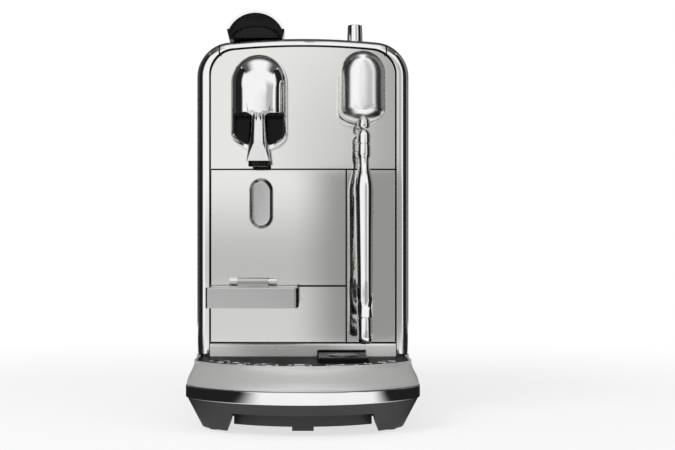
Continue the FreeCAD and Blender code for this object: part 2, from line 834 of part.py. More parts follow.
def fasteners():
    """Cross-head screws that hold the back plate, six separate solids."""
    screws = []
    near = SCREW_SLOT_W / 2
    far = SCREW_SLOT_L / 2
    end = REAR_Y1 + SCREW_HEIGHT
    for x in (-SCREW_X, SCREW_X):
        for z in SCREW_Z:
            dome = Part.makeSphere(SCREW_DOME_R, Vec(x, REAR_Y1 - SCREW_SINK, z))
            head = dome.common(box(x - SCREW_DOME_R, x + SCREW_DOME_R, REAR_Y1, end,
                                   z - SCREW_DOME_R, z + SCREW_DOME_R))
            upright = box(x - near, x + near, REAR_Y1 + SCREW_SLOT_Y, end, z - far, z + far)
            across = box(x - far, x + far, REAR_Y1 + SCREW_SLOT_Y, end, z - near, z + near)
            screws.append(head.cut(fuse(upright, across)))
    return Part.makeCompound(screws)


def frame_collar():
    """Wall under the inner frame's floor, standing on the deck, with a way out for the inlet hose."""
    collar = box(-SHELL_IN, SHELL_IN, PANEL_BACK, FRAME_Y1, DECK_Z, BODY_BOTTOM)
    collar = collar.cut(box(PLATE - SHELL_IN, SHELL_IN - PLATE, PANEL_BACK + PLATE, FRAME_Y1 - PLATE,
                            DECK_Z, BODY_BOTTOM))
    return collar.cut(box(VALVE_X - HOSE_WAY, VALVE_X + HOSE_WAY, FRAME_Y1 - PLATE - OVER, FRAME_Y1 + OVER,
                          DECK_Z, BODY_BOTTOM))


def inner_frame():
    """Moulded frame inside the body: collar, floor, bin shelf, brew shelf, partition and posts."""
    floor = box(-SHELL_IN, SHELL_IN, FRAME_Y0, FRAME_Y1, BODY_BOTTOM, FLOOR_Z)
    bin_shelf = box(-SHELL_IN, WALL_X, FRAME_Y0, FRAME_Y1, BIN_SHELF_Z - PLATE, BIN_SHELF_Z)
    brew_shelf = box(-SHELL_IN, SHELL_IN, FRAME_Y0, BREW_SHELF_Y1, BREW_SHELF_Z - PLATE, BREW_SHELF_Z)
    wall = box(WALL_X - WALL_T, WALL_X, FRAME_Y0, FRAME_Y1, BIN_SHELF_Z - PLATE, BREW_SHELF_Z)
    posts = []
    for x0 in (-SHELL_IN, SHELL_IN - PLATE):
        for y0 in (FRAME_Y0, BREW_SHELF_Y1 - POST_W, FRAME_Y1 - POST_W):
            posts.append(box(x0, x0 + PLATE, y0, y0 + POST_W, FLOOR_Z, BREW_SHELF_Z))
    frame = fuse(frame_collar(), floor, bin_shelf, brew_shelf, wall, *posts)
    cuts = [
        slab(*CHUTE_X, *CHUTE_Y, BREW_SHELF_Z - PLATE - OVER, BREW_SHELF_Z + OVER, CHUTE_R),
        rod_z(HOSE_HOLE_R, VALVE_X, FEED_Y, BODY_BOTTOM - OVER, FLOOR_Z + OVER),
        rod_z(HOSE_HOLE_R, RISER_X, HEATER_MID_Y, BIN_SHELF_Z - PLATE - OVER, BIN_SHELF_Z + OVER),
        rod_z(HOSE_HOLE_R, STEAM_PIPE_X, PUMP_Y, BREW_SHELF_Z - PLATE - OVER, BREW_SHELF_Z + OVER),
    ]
    return frame.cut(Part.makeCompound(cuts))


def panel_drum(grow):
    """Upright drum whose front is the bow of the front panels."""
    return Part.makeCylinder(PANEL_CROWN_R + grow, PANEL_DRUM_H, Vec(0, PANEL_FRONT + PANEL_CROWN_R, 0))


def bow_y(x):
    """Front face of the bowed panels at x."""
    return PANEL_FRONT + PANEL_CROWN_R - math.sqrt(PANEL_CROWN_R ** 2 - x ** 2)


def crowned_panel(x0, x1, z0, z1, back):
    """Front panel, slightly bowed outwards, cut to fit the opening in the frame."""
    blank = opening_prism(PANEL_EDGE, FRAME_FRONT, back).common(box(x0, x1, FRAME_FRONT, back, z0, z1))
    return blank.common(panel_drum(0))


def front_panel():
    """Upper panel that carries the coffee outlet and the steam head."""
    panel = crowned_panel(-OPEN_HALF, OPEN_HALF, DOOR_SPLIT_Z + LINE, BODY_TOP, PANEL_BACK)
    coffee_hole = rod_y(SPOUT_PIPE_R + GAP, SPOUT_X, FRAME_FRONT, PIPE_END_Y, SPOUT_PIPE_Z)
    steam_hole = rod_y(STEAM_STUB_R + 2 * TOUCH, STEAM_PIPE_X, FRAME_FRONT, PIPE_END_Y, STEAM_PIPE_Z)
    return panel.cut(Part.makeCompound([coffee_hole, steam_hole]))


def lower_front_panel():
    """Panel below the capsule door."""
    return crowned_panel(-OPEN_HALF, STEAM_SPLIT_X - LINE, PANEL_LOW_Z, SHELF_SPLIT_Z - LINE, PANEL_BACK)


def steam_front_panel():
    """Tall panel behind the steam wand."""
    return crowned_panel(STEAM_SPLIT_X + LINE, OPEN_HALF, PANEL_LOW_Z, DOOR_SPLIT_Z - LINE, PANEL_BACK)


def spout_housing():
    """Polished hood over the coffee outlet: a dome with a niche below its visor, slotted for the spout."""
    seat = bow_y(SPOUT_X - HOOD_HALF)
    front = PANEL_FRONT - HOOD_DEPTH
    pill = stadium_prism(SPOUT_X, HOOD_HALF, HOOD_Z0, HOOD_Z1, front, seat)
    dome = pill.makeFillet(HOOD_EDGE_R, edges_at(pill, INWARD, front))
    niche = stadium_prism(SPOUT_X, HOOD_HALF - NICHE_WALL, HOOD_Z0 + NICHE_WALL, HOOD_Z1 - NICHE_ROOF,
                          front - OVER, PANEL_FRONT - NICHE_BACK)
    visor = box(SPOUT_X - HOOD_HALF, SPOUT_X + HOOD_HALF, front - OVER, front + VISOR_WALL, VISOR_Z, HOOD_Z1)
    slot = box(SPOUT_X - SPOUT_SLOT_HALF, SPOUT_X + SPOUT_SLOT_HALF, front - OVER, SPOUT_SLOT_BACK,
               HOOD_Z0 - OVER, VISOR_Z)
    pipe = rod_y(SPOUT_PIPE_R + 2 * TOUCH, SPOUT_X, front + HOOD_PIPE_IN, seat, SPOUT_PIPE_Z)
    return dome.cut(niche.cut(visor)).cut(slot).cut(panel_drum(TOUCH)).cut(pipe)


def spout_section(width, depth, y, z):
    """Rounded rectangle across the spout."""
    prism = box(SPOUT_X - width / 2, SPOUT_X + width / 2, y - depth / 2, y + depth / 2, z, z + OVER)
    prism = prism.makeFillet(min(width, depth) * SPOUT_ROUND, edges_along(prism, UP))
    face = [face for face in prism.Faces if abs(face.CenterOfMass.z - z) < 1e-4][0]
    return face.OuterWire


def spout_body(shrink, low):
    wires = []
    for width, depth, y, z in [SPOUT_MOUTH + (low,)] + SPOUT_RISE:
        wires.append(spout_section(width - shrink, depth - shrink, y, z))
    return Part.makeLoft(wires, True, False)


def spout_zone(z0, z1):
    return box(SPOUT_X - HOOD_HALF, SPOUT_X + HOOD_HALF, FRONT_Y, PANEL_FRONT, z0, z1)


def spout():
    """Coffee spout: a pipe through the panel and a nozzle that widens towards its end."""
    pipe = rod_y(SPOUT_PIPE_R, SPOUT_X, SPOUT_PIPE_Y, PIPE_END_Y, SPOUT_PIPE_Z)
    elbow = Part.makeSphere(SPOUT_ELBOW_R, Vec(SPOUT_X, SPOUT_PIPE_Y, SPOUT_PIPE_Z))
    nozzle = fuse(spout_body(0, SPOUT_END_Z), pipe, elbow)
    bore = rod_y(SPOUT_BORE_R, SPOUT_X, SPOUT_PIPE_Y, PIPE_END_Y + OVER, SPOUT_PIPE_Z)
    mouth = spout_body(2 * SPOUT_WALL, LINER_END_Z)
    mouth = mouth.common(spout_zone(LINER_END_Z, LINER_TOP_Z + LINER_ROOM))
    return nozzle.cut(bore).cut(mouth)


def spout_liner():
    """Black outlet insert that shows below the spout's end."""
    insert = spout_body(2 * SPOUT_WALL + 2 * TOUCH, LINER_END_Z)
    insert = insert.common(spout_zone(LINER_END_Z, LINER_TOP_Z))
    jets = []
    for x in (SPOUT_X - JET_X, SPOUT_X + JET_X):
        start = Vec(x, JET_Y[0], LINER_END_Z - OVER)
        run = Vec(x, JET_Y[1], JET_TOP_Z) - start
        jets.append(Part.makeCylinder(JET_R, run.Length, start, run))
    return insert.cut(Part.makeCompound(jets))


def steam_head():
    """Satin pill that holds the wand, standing a little off the panel."""
    back = PANEL_FRONT - STEAM_STANDOFF
    front = PANEL_FRONT - STEAM_DEPTH
    pill = stadium_prism(STEAM_X, STEAM_HALF, STEAM_Z0, STEAM_Z1, front, back)
    pill = pill.makeFillet(STEAM_EDGE_R, edges_at(pill, INWARD, front))
    pill = pill.makeFillet(STEAM_BACK_R, edges_at(pill, INWARD, back))
    neck = stadium_prism(STEAM_X, STEAM_HALF - STEAM_NECK_INSET, STEAM_Z0 + STEAM_NECK_DROP,
                         STEAM_Z1 - STEAM_NECK_DROP, back - OVER, PANEL_BACK)
    stub = rod_y(STEAM_STUB_R, STEAM_PIPE_X, back - STEAM_STUB_IN, PIPE_END_Y, STEAM_PIPE_Z)
    return fuse(pill, neck.cut(panel_drum(TOUCH)), stub)


def wand_axle(radius, reach):
    return rod_x(radius, WAND_X - reach, WAND_X + reach, WAND_Y, WAND_Z)


def wand_clevis():
    """Fork under the steam head that the wand swings in."""
    stem = rod_z(FORK_STEM_R, WAND_X, WAND_Y, WAND_Z + FORK_STEM_RISE, STEAM_Z0 + FORK_STEM_IN)
    disc_z = WAND_Z + FORK_DISC_RISE
    disc = rod_z(FORK_DISC_R, WAND_X, WAND_Y, disc_z, disc_z + FORK_DISC_T)
    ears = []
    for side in (-1, 1):
        x0, x1 = beside(WAND_X, side, KNUCKLE_HALF + GAP, KNUCKLE_HALF + GAP + EAR_T)
        ears.append(rod_x(KNUCKLE_R + GAP, x0, x1, WAND_Y, WAND_Z))
        ears.append(box(x0, x1, WAND_Y - EAR_HALF, WAND_Y + EAR_HALF, WAND_Z, WAND_Z + EAR_RISE))
    fork = fuse(stem, disc, *ears)
    return fork.cut(wand_axle(WAND_PIN_R + PIN_FIT, WAND_PIN_RUN)).cut(steam_head())


def wand_pin():
    """Hinge pin of the wand, fixed in the fork's ears."""
    return wand_axle(WAND_PIN_R, KNUCKLE_HALF + GAP + EAR_T)


def lean(shape):
    """Turn a piece built straight down from the wand's pivot to its resting lean."""
    leaned = shape.copy()
    leaned.rotate(Vec(WAND_X, WAND_Y, WAND_Z), Vec(1, 0, 0), -WAND_LEAN)
    return leaned


def wand_turned(profile):
    """Revolve a profile about the wand's own line."""
    outline = [Vec(WAND_X + radius, WAND_Y, WAND_Z - drop) for radius, drop in profile]
    first = Vec(WAND_X, WAND_Y, outline[0].z)
    last = Vec(WAND_X, WAND_Y, outline[-1].z)
    return polygon_face([first] + outline + [last]).revolve(Vec(WAND_X, WAND_Y, 0), UP, 360)


def wand_knuckle():
    """Barrel of the wand's hinge with its necked stem."""
    knuckle = fuse(wand_axle(KNUCKLE_R, KNUCKLE_HALF), wand_turned(KNUCKLE_PROFILE))
    return lean(knuckle.cut(wand_axle(WAND_PIN_R + PIN_PLAY, WAND_PIN_RUN)))


def wand_grip():
    """Flared collar by which the wand is moved."""
    return lean(wand_turned(GRIP_PROFILE))


def wand_tube():
    """Slightly tapered steam pipe."""
    return lean(wand_turned(TUBE_PROFILE))


def wand_tip():
    """Steam nozzle with a ring of jets that point down and out."""
    jets = []
    start = Vec(WAND_X, WAND_Y, WAND_Z - TIP_JET_DROP)
    for turn in range(TIP_JETS):
        angle = math.radians(360 * (turn + 0.5) / TIP_JETS)
        way = Vec(math.cos(angle), math.sin(angle), -1)
        jets.append(Part.makeCylinder(TIP_JET_R, TIP_JET_RUN, start, way))
    return lean(wand_turned(TIP_PROFILE).cut(Part.makeCompound(jets)))


def capsule_bin():
    """Open-topped box for used capsules, behind its door."""
    z0 = BIN_SHELF_Z + BIN_LIFT
    outer = slab(BIN_X0, BIN_X1, DOOR_BACK, BIN_BACK, z0, BIN_TOP, BIN_R)
    inner = slab(BIN_X0 + BIN_WALL, BIN_X1 - BIN_WALL, DOOR_BACK + BIN_WALL, BIN_BACK - BIN_WALL,
                 z0 + BIN_WALL, BIN_TOP + OVER, BIN_INNER_R)
    return outer.cut(inner)


def cup_hinge(x0, x1, radius):
    return rod_x(radius, x0, x1, CUP_HINGE_Y, CUP_HINGE_Z)


def bin_door():
    """Capsule door: bowed front, arched finger recess and the cup support's hinge lugs."""
    door = crowned_panel(-OPEN_HALF, STEAM_SPLIT_X - LINE, SHELF_SPLIT_Z + LINE, DOOR_SPLIT_Z - LINE, DOOR_BACK)
    grip = stadium_prism(GRIP_X, GRIP_HALF, GRIP_LOW, GRIP_TOP, FRAME_FRONT, bow_y(GRIP_X) + GRIP_DEPTH)
    lugs = []
    for x0 in (CUP_HINGE_X0, CUP_HINGE_X1 - CUP_LUG_W):
        x1 = x0 + CUP_LUG_W
        lugs.append(cup_hinge(x0, x1, CUP_HINGE_R))
        lugs.append(box(x0, x1, CUP_HINGE_Y, bow_y(x0) + CUP_LUG_IN,
                        CUP_HINGE_Z - CUP_LUG_DROP, CUP_HINGE_Z + CUP_HINGE_R))
    bore = cup_hinge(CUP_HINGE_X0 - OVER, CUP_HINGE_X1 + OVER, CUP_PIN_R + PIN_FIT)
    return fuse(door.cut(grip), *lugs).cut(bore)


def cup_support_pin():
    """Hinge pin of the cup support, fixed in the door's lugs."""
    return cup_hinge(CUP_HINGE_X0, CUP_HINGE_X1, CUP_PIN_R)


def cup_support():
    """Folded platform for a small cup, hinged on the capsule door."""
    front = CUP_BACK - CUP_DEPTH
    low = CUP_TOP - CUP_LIP
    block = box(CUP_X0, CUP_X1, front, CUP_BACK, low, CUP_TOP)
    corners = [edge for edge in edges_along(block, UP) if edge.CenterOfMass.y < front + OVER]
    block = block.makeFillet(CUP_CORNER_R, corners)
    rim = [edge for edge in edges_at(block, UP, CUP_TOP) if edge.BoundBox.YMin < CUP_BACK - OVER]
    block = block.makeFillet(CUP_EDGE_R, rim)
    hollow = box(CUP_X0 + CUP_SHEET, CUP_X1 - CUP_SHEET, front + CUP_SHEET, CUP_BACK + OVER,
                 low - OVER, CUP_TOP - CUP_SHEET)
    x0 = CUP_HINGE_X0 + CUP_LUG_W + CUP_LUG_GAP
    x1 = CUP_HINGE_X1 - CUP_LUG_W - CUP_LUG_GAP
    web = box(x0, x1, CUP_HINGE_Y - CUP_WEB_HALF, CUP_HINGE_Y + CUP_WEB_HALF, CUP_TOP - OVER, CUP_HINGE_Z)
    sheet = fuse(block.cut(hollow), cup_hinge(x0, x1, CUP_HINGE_R), web)
    return sheet.cut(cup_hinge(x0 - OVER, x1 + OVER, CUP_PIN_R + PIN_PLAY))


def flare(extra):
    wires = []
    for side, front, z in FLARE:
        wires.append(plan_wire(side + extra, front + extra, side + extra, z))
    return Part.makeLoft(wires, True, False)


def tray_skirt():
    """Brushed flared front of the drip tray."""
    shell = flare(0).cut(flare(SKIRT_WALL))
    return shell.common(box(-HALF, HALF, FRONT_Y, TRAY_BACK, DECK_Z, BODY_BOTTOM))


def tray_prism(insets, z0, z1, back):
    """Tray outline with the given side inset and front setback, cut off at the back."""
    side, front = insets
    blank = Part.Face(plan_wire(side, front, side, z0)).extrude(Vec(0, 0, z1 - z0))
    return blank.common(box(-HALF, HALF, FRONT_Y, back, z0, z1))


def sensor_bay(grow, z0, z1):
    """Space round the jug sensor, open to the back."""
    return box(SENSOR_X0 - grow, SENSOR_X1 + grow, SENSOR_Y0 - grow, PANEL_BACK, z0, z1)


def tray_basin():
    """Black basin under the grid, with a bay at the back for the jug sensor."""
    high = BASIN_TOP + OVER
    outer = tray_prism(BASIN_OUTER, TRAY_FLOOR_Z, BASIN_TOP, TRAY_BACK)
    flange = tray_prism(BASIN_FLANGE, BASIN_TOP - BASIN_WALL, BASIN_TOP, TRAY_BACK)
    inner = tray_prism(BASIN_INNER, TRAY_FLOOR_Z + BASIN_WALL, high, TRAY_BACK - BASIN_WALL)
    inner = inner.cut(sensor_bay(SENSOR_ROOM + BASIN_WALL, TRAY_FLOOR_Z, high))
    return outer.fuse(flange).cut(inner).cut(sensor_bay(SENSOR_ROOM, 0, high)).removeSplitter()


def drain_holes(places):
    """Oval holes through the tray's plate, each turned along the circle it stands on."""
    holes = []
    for angle, circle, along, across in places:
        y = HOLE_Y - circle
        hole = slab(-along / 2, along / 2, y - across / 2, y + across / 2,
                    BASIN_TOP - OVER, BASIN_TOP + GRID_T + OVER, across / 2 - TOUCH)
        hole.rotate(Vec(0, HOLE_Y, 0), UP, angle)
        holes.append(hole)
    return Part.makeCompound(holes)


def tray_plate():
    return tray_prism(TRAY_PLATE, BASIN_TOP, BASIN_TOP + GRID_T, PLATE_BACK)


def drip_grid():
    """Polished plate that lifts off the basin, with an arc of drain holes."""
    zone = box(-HALF, SENSOR_X0 - SENSOR_ROOM - GAP, FRONT_Y, TRAY_BACK, 0, BODY_BOTTOM)
    return tray_plate().common(zone).cut(drain_holes(GRID_HOLES))


def tray_deck():
    """Polished plate round the jug sensor, level with the grid."""
    zone = box(SENSOR_X0 - SENSOR_ROOM, HALF, FRONT_Y, TRAY_BACK, 0, BODY_BOTTOM)
    deck = tray_plate().common(zone).cut(sensor_bay(SENSOR_ROOM, 0, BODY_BOTTOM))
    return deck.cut(drain_holes(DECK_HOLES))


def tray_ledge():
    """Polished upstand along the back of the tray."""
    strip = box(-LEDGE_HALF, LEDGE_HALF, TRAY_BACK - LEDGE_T, TRAY_BACK, BASIN_TOP, LEDGE_TOP)
    rim = [edge for edge in edges_at(strip, UP, LEDGE_TOP) if edge.BoundBox.YMax < TRAY_BACK - OVER]
    strip = strip.makeFillet(LEDGE_R, rim)
    return strip.cut(sensor_bay(SENSOR_ROOM, 0, SENSOR_TOP + 2 * SENSOR_ROOM))


def sensor_rod(radius, z0, z1):
    return rod_z(radius, SENSOR_MID, SENSOR_DISC_Y, z0, z1)


def jug_sensor_pad():
    """Black block that stands through the tray and carries the jug temperature sensor."""
    block = slab(SENSOR_X0, SENSOR_X1, SENSOR_Y0, PANEL_BACK, DECK_Z, SENSOR_TOP, SENSOR_R)
    block = block.makeFillet(SENSOR_EDGE_R, edges_at(block, UP, SENSOR_TOP))
    return block.cut(sensor_rod(SENSOR_DISC_R + GAP, SENSOR_TOP - SENSOR_WELL, SENSOR_TOP + OVER))


def jug_sensor_disc():
    """Sprung steel disc that touches the bottom of a jug."""
    top = SENSOR_TOP + SENSOR_PROUD
    disc = sensor_rod(SENSOR_DISC_R, top - SENSOR_DISC_T, top)
    return disc.makeFillet(SENSOR_DISC_EDGE, edges_at(disc, UP, top))


def lever_section(y, half, spring, top, low):
    right = Vec(LEVER_X + half, y, spring)
    left = Vec(LEVER_X - half, y, spring)
    foot_left = Vec(LEVER_X - half + LEVER_FOOT_IN, y, low)
    foot_right = Vec(LEVER_X + half - LEVER_FOOT_IN, y, low)
    return Part.Wire([
        line(foot_left, foot_right),
        line(foot_right, right),
        arc(right, Vec(LEVER_X, y, top), left),
        line(left, foot_left),
    ])


def lever_form(inset, low):
    """Arched lever, highest over the nose and falling towards its hinge."""
    wires = []
    for y, half, spring, top in LEVER_STATIONS:
        wires.append(lever_section(y, half - inset, spring, top - inset, low))
    return Part.makeLoft(wires, True, False)


def lever_skin_zone():
    """Everything above the line where the lever's polished cover ends."""
    (y0, z0), (y1, z1) = SKIN_LINE
    high = LEVER_TOP + OVER
    side = polygon_face([Vec(-HALF, y0, z0), Vec(-HALF, y1, z1), Vec(-HALF, y1, high), Vec(-HALF, y0, high)])
    return side.extrude(Vec(HALF, 0, 0))


def lever_cover():
    """Polished arched cover on top of the lever."""
    skin = lever_form(0, LEVER_LOW).cut(lever_form(LEVER_SKIN, LEVER_LOW - OVER))
    return skin.common(lever_skin_zone())


def crank_parts():
    """Crank arms and pins under the lever's hinge, at their resting angle."""
    pieces = []
    low = PIVOT_Z - CRANK_R
    for side in (-1, 1):
        x0, x1 = beside(LEVER_X, side, *CRANK_ARM_X)
        pin0, pin1 = beside(LEVER_X, side, *CRANK_PIN_X)
        pieces.append(rod_x(CRANK_ARM_R, x0, x1, PIVOT_Y, low))
        pieces.append(box(x0, x1, PIVOT_Y - CRANK_ARM_R, PIVOT_Y + CRANK_ARM_R, low, PIVOT_Z))
        pieces.append(rod_x(CRANK_PIN_R, pin0, pin1, PIVOT_Y, low))
    for piece in pieces:
        piece.rotate(Vec(0, PIVOT_Y, PIVOT_Z), Vec(1, 0, 0), CRANK_REST)
    return pieces


def lever_axle(radius, reach):
    return rod_x(radius, LEVER_X - reach, LEVER_X + reach, PIVOT_Y, PIVOT_Z)


def lever_handle():
    """Black lever body with its scooped front, hinge barrel and crank."""
    lower = lever_form(0, LEVER_LOW).cut(lever_skin_zone())
    body = lower.fuse(lever_form(LEVER_SKIN + TOUCH, LEVER_LOW))
    nose = box(-HALF, 0, LEVER_FRONT - OVER, LEVER_FRONT + NOSE_SETBACK, LEVER_LOW - OVER, LEVER_TOP + OVER)
    scoop = rod_x(SCOOP_R, -HALF, 0, SCOOP_Y, SCOOP_Z)
    neck = box(LEVER_X - BARREL_HALF, LEVER_X + BARREL_HALF, *NECK_Y, PIVOT_Z - NECK_DROP, LEVER_LOW + NECK_IN)
    whole = fuse(body.cut(nose).cut(scoop), lever_axle(BARREL_R, BARREL_HALF), neck, *crank_parts())
    return whole.cut(lever_axle(PIVOT_PIN_R, BREW_HALF))


def lever_pivot_pin():
    """Hinge pin of the lever, turning in the brew housing's sides."""
    return lever_axle(PIVOT_PIN_R, BREW_HALF - PIVOT_PIN_INSET)


def brew_housing():
    """Open box that guides the brew carriage and holds the lever's hinge pin."""
    x0 = LEVER_X - BREW_HALF
    x1 = LEVER_X + BREW_HALF
    plates = []
    for side in (-1, 1):
        wall0, wall1 = beside(LEVER_X, side, BREW_HALF - PLATE, BREW_HALF)
        rail0, rail1 = beside(LEVER_X, side, RAIL_X, BREW_HALF)
        plates.append(box(wall0, wall1, BREW_Y0, BREW_Y1, BREW_SHELF_Z, BREW_TOP))
        plates.append(box(rail0, rail1, BREW_Y0, BREW_Y1, *RAIL_Z))
    floor = box(x0, x1, BREW_Y0, BREW_Y1, BREW_SHELF_Z, BREW_SHELF_Z + PLATE)
    front = box(x0, x1, BREW_Y0, BREW_Y0 + PLATE, BREW_SHELF_Z, BREW_FRONT_TOP)
    cuts = [
        slab(*CHUTE_X, *CHUTE_Y, BREW_SHELF_Z - OVER, BREW_SHELF_Z + PLATE + OVER, CHUTE_R),
        lever_axle(PIVOT_PIN_R + PIN_PLAY, BREW_HALF + OVER),
        rod_y(BREW_PIPE_R, SPOUT_X, BREW_Y0 - OVER, BREW_Y0 + PLATE + OVER, SPOUT_PIPE_Z),
    ]
    housing = fuse(floor, front, *plates).cut(Part.makeCompound(cuts))
    return housing.common(body_prism(BODY_WALL + BREW_ROOF_GAP, *CONTROL_Y))


def injection_head():
    """Fixed rear half of the brew chamber, with the cup that takes the capsule."""
    y0, y1 = HEAD_Y
    block = box(LEVER_X - HEAD_HALF, LEVER_X + HEAD_HALF, y0, y1, BREW_SHELF_Z + PLATE, HEAD_TOP)
    arch = box(LEVER_X - HEAD_ARCH_HALF, LEVER_X + HEAD_ARCH_HALF, y0 - OVER, y1 + OVER, *HEAD_ARCH_Z)
    cup = rod_y(HEAD_HALF, LEVER_X, HEAD_CUP_Y, y0, CHAMBER_Z)
    hollow = rod_y(HEAD_CUP_R, LEVER_X, HEAD_CUP_Y - OVER, HEAD_CUP_END, CHAMBER_Z)
    inlet = rod_y(HEAD_INLET_R, LEVER_X, *HEAD_INLET_Y, CHAMBER_Z)
    return fuse(block.cut(arch), cup, inlet).cut(hollow)


def brew_carriage():
    """Sliding front half of the brew chamber; the lever's crank pins push it by two slotted drawbars."""
    y0, y1 = CARRIAGE_Y
    low, high = CARRIAGE_Z
    outer = DRAWBAR_X[1]
    plate = box(LEVER_X - CARRIAGE_HALF, LEVER_X + CARRIAGE_HALF, y0, y1, low, high)
    wide = box(LEVER_X - outer, LEVER_X + outer, y0, y1, DRAWBAR_Z[0], high)
    seat = rod_y(CARRIAGE_SEAT_R, LEVER_X, y1, y1 + CARRIAGE_SEAT_T, CHAMBER_Z)
    pin_y = PIVOT_Y + CRANK_R * math.sin(math.radians(CRANK_REST))
    bars = []
    for side in (-1, 1):
        x0, x1 = beside(LEVER_X, side, *DRAWBAR_X)
        bars.append(box(x0, x1, y0, pin_y + DRAWBAR_LUG_HALF, *DRAWBAR_Z))
        bars.append(box(x0, x1, pin_y - DRAWBAR_LUG_HALF, pin_y + DRAWBAR_LUG_HALF,
                        DRAWBAR_Z[0], DRAWBAR_LUG_TOP))
    half = CRANK_PIN_R + CRANK_SLOT_PLAY
    slot = box(LEVER_X - BREW_HALF, LEVER_X + BREW_HALF, pin_y - half, pin_y + half, *DRAWBAR_SLOT_Z)
    return fuse(plate, wide, seat, *bars).cut(slot)


def selector_dial():
    """Tapered chrome knob on a shaft with a driving flat."""
    low = crown_z(DIAL_X) + DIAL_GAP
    knob = Part.makeCone(DIAL_R, DIAL_R - DIAL_TAPER, DIAL_TOP - low, Vec(DIAL_X, DIAL_Y, low))
    knob = knob.makeFillet(DIAL_EDGE_R, edges_at(knob, UP, DIAL_TOP))
    shaft = rod_z(DIAL_SHAFT_R, DIAL_X, DIAL_Y, DIAL_SHAFT_Z, low + OVER)
    flat = box(DIAL_X - DIAL_R, DIAL_X + DIAL_R, DIAL_Y + DIAL_FLAT_Y, DIAL_Y + DIAL_R,
               DIAL_SHAFT_Z - OVER, low - OVER)
    return knob.fuse(shaft.cut(flat)).removeSplitter()


def start_button():
    """Round button in the top."""
    top = crown_z(BUTTON_X) + BUTTON_PROUD
    cap = rod_z(BUTTON_R, BUTTON_X, BUTTON_Y, BUTTON_LOW_Z, top)
    return cap.makeFillet(SMALL_R, edges_at(cap, UP, top))


def lid_axle(x0, x1, radius):
    return rod_x(radius, x0, x1, LID_Y, LID_Z)


def water_tank():
    """Clear tank at the back, open at the top, with hinge lugs for its lid."""
    outer = slab(-TANK_HALF, TANK_HALF, TANK_Y0, TANK_Y1, TANK_Z0, TANK_Z1, TANK_CORNER_R)
    outer = outer.makeFillet(TANK_EDGE_R, edges_at(outer, UP, TANK_Z0))
    inner = slab(TANK_WALL - TANK_HALF, TANK_HALF - TANK_WALL, TANK_Y0 + TANK_WALL, TANK_Y1 - TANK_WALL,
                 TANK_Z0 + TANK_WALL, TANK_Z1 + OVER, TANK_CORNER_R - TANK_WALL)
    lugs = []
    lug_end = LID_Y + LID_BARREL_R
    for x0 in TANK_LUG_X:
        x1 = x0 + TANK_LUG_W
        lugs.append(lid_axle(x0, x1, LID_BARREL_R))
        lugs.append(box(x0, x1, TANK_Y1 - OVER, lug_end, TANK_Z1 - TANK_LUG_DROP, TANK_Z1))
        lugs.append(box(x0, x1, TANK_Y1 + TANK_LUG_GAP, lug_end, TANK_Z1 - OVER, LID_Z))
    tank = fuse(outer.cut(inner), *lugs)
    valve_hole = rod_z(VALVE_HOLE_R, VALVE_X, VALVE_Y, TANK_Z0 - OVER, TANK_Z0 + TANK_WALL + OVER)
    pin_bore = lid_axle(-LID_PIN_HALF - OVER, LID_PIN_HALF + OVER, LID_PIN_R + PIN_FIT)
    return tank.cut(valve_hole).cut(pin_bore)


def tank_lid():
    """Lid of the tank with its two hinge knuckles and a finger hollow."""
    low = TANK_Z1 + LID_GAP
    top = low + LID_T
    lid = slab(-TANK_HALF, TANK_HALF, TANK_Y0, TANK_Y1, low, top, TANK_CORNER_R)
    lid = lid.makeFillet(TANK_EDGE_R, edges_at(lid, UP, top))
    inner = slab(LID_WALL - TANK_HALF, TANK_HALF - LID_WALL, TANK_Y0 + LID_WALL, TANK_Y1 - LID_WALL,
                 low - OVER, top - LID_ROOF, TANK_CORNER_R - LID_WALL)
    grip = Part.makeSphere(LID_GRIP_R, Vec(0, TANK_Y0 + LID_GRIP_Y, top + LID_GRIP_Z))
    knuckles = []
    for x0 in LID_LUG_X:
        x1 = x0 + LID_LUG_W
        knuckles.append(lid_axle(x0, x1, LID_BARREL_R))
        knuckles.append(box(x0, x1, TANK_Y1 - LID_LUG_DROP, LID_Y, LID_Z - LID_LUG_DROP, LID_Z + LID_BARREL_R))
    pin_bore = lid_axle(-LID_PIN_HALF - OVER, LID_PIN_HALF + OVER, LID_PIN_R + PIN_PLAY)
    return fuse(lid.cut(inner).cut(grip), *knuckles).cut(pin_bore)


def lid_pin():
    """Hinge pin of the lid, fixed in the tank's lugs."""
    return lid_axle(-LID_PIN_HALF, LID_PIN_HALF, LID_PIN_R)


def valve_rod(radius, z0, z1):
    return rod_z(radius, VALVE_X, VALVE_Y, z0, z1)


def tank_valve():
    """Valve under the tank that opens in the dock."""
    top = TANK_Z0 + VALVE_STEM_RISE
    body = valve_rod(VALVE_R, VALVE_LOW_Z, TANK_Z0)
    stem = valve_rod(VALVE_STEM_R, TANK_Z0 - OVER, top)
    return fuse(body, stem).cut(valve_rod(VALVE_BORE_R, VALVE_LOW_Z - OVER, top + OVER))


def tank_dock():
    """Platform under the tank with the water inlet."""
    plate = slab(-DOCK_HALF, DOCK_HALF, TANK_Y0 + DOCK_SETIN[0], TANK_Y1 - DOCK_SETIN[1],
                 DECK_Z, TANK_Z0 - GAP, DOCK_R)
    socket = valve_rod(DOCK_SOCKET_R, DECK_Z + DOCK_FLOOR, TANK_Z0 + OVER)
    spigot = rod_y(SPIGOT_R, VALVE_X, TANK_Y0 + SPIGOT_RUN[0], TANK_Y0 + SPIGOT_RUN[1], INLET_Z)
    return fuse(plate.cut(socket), spigot)


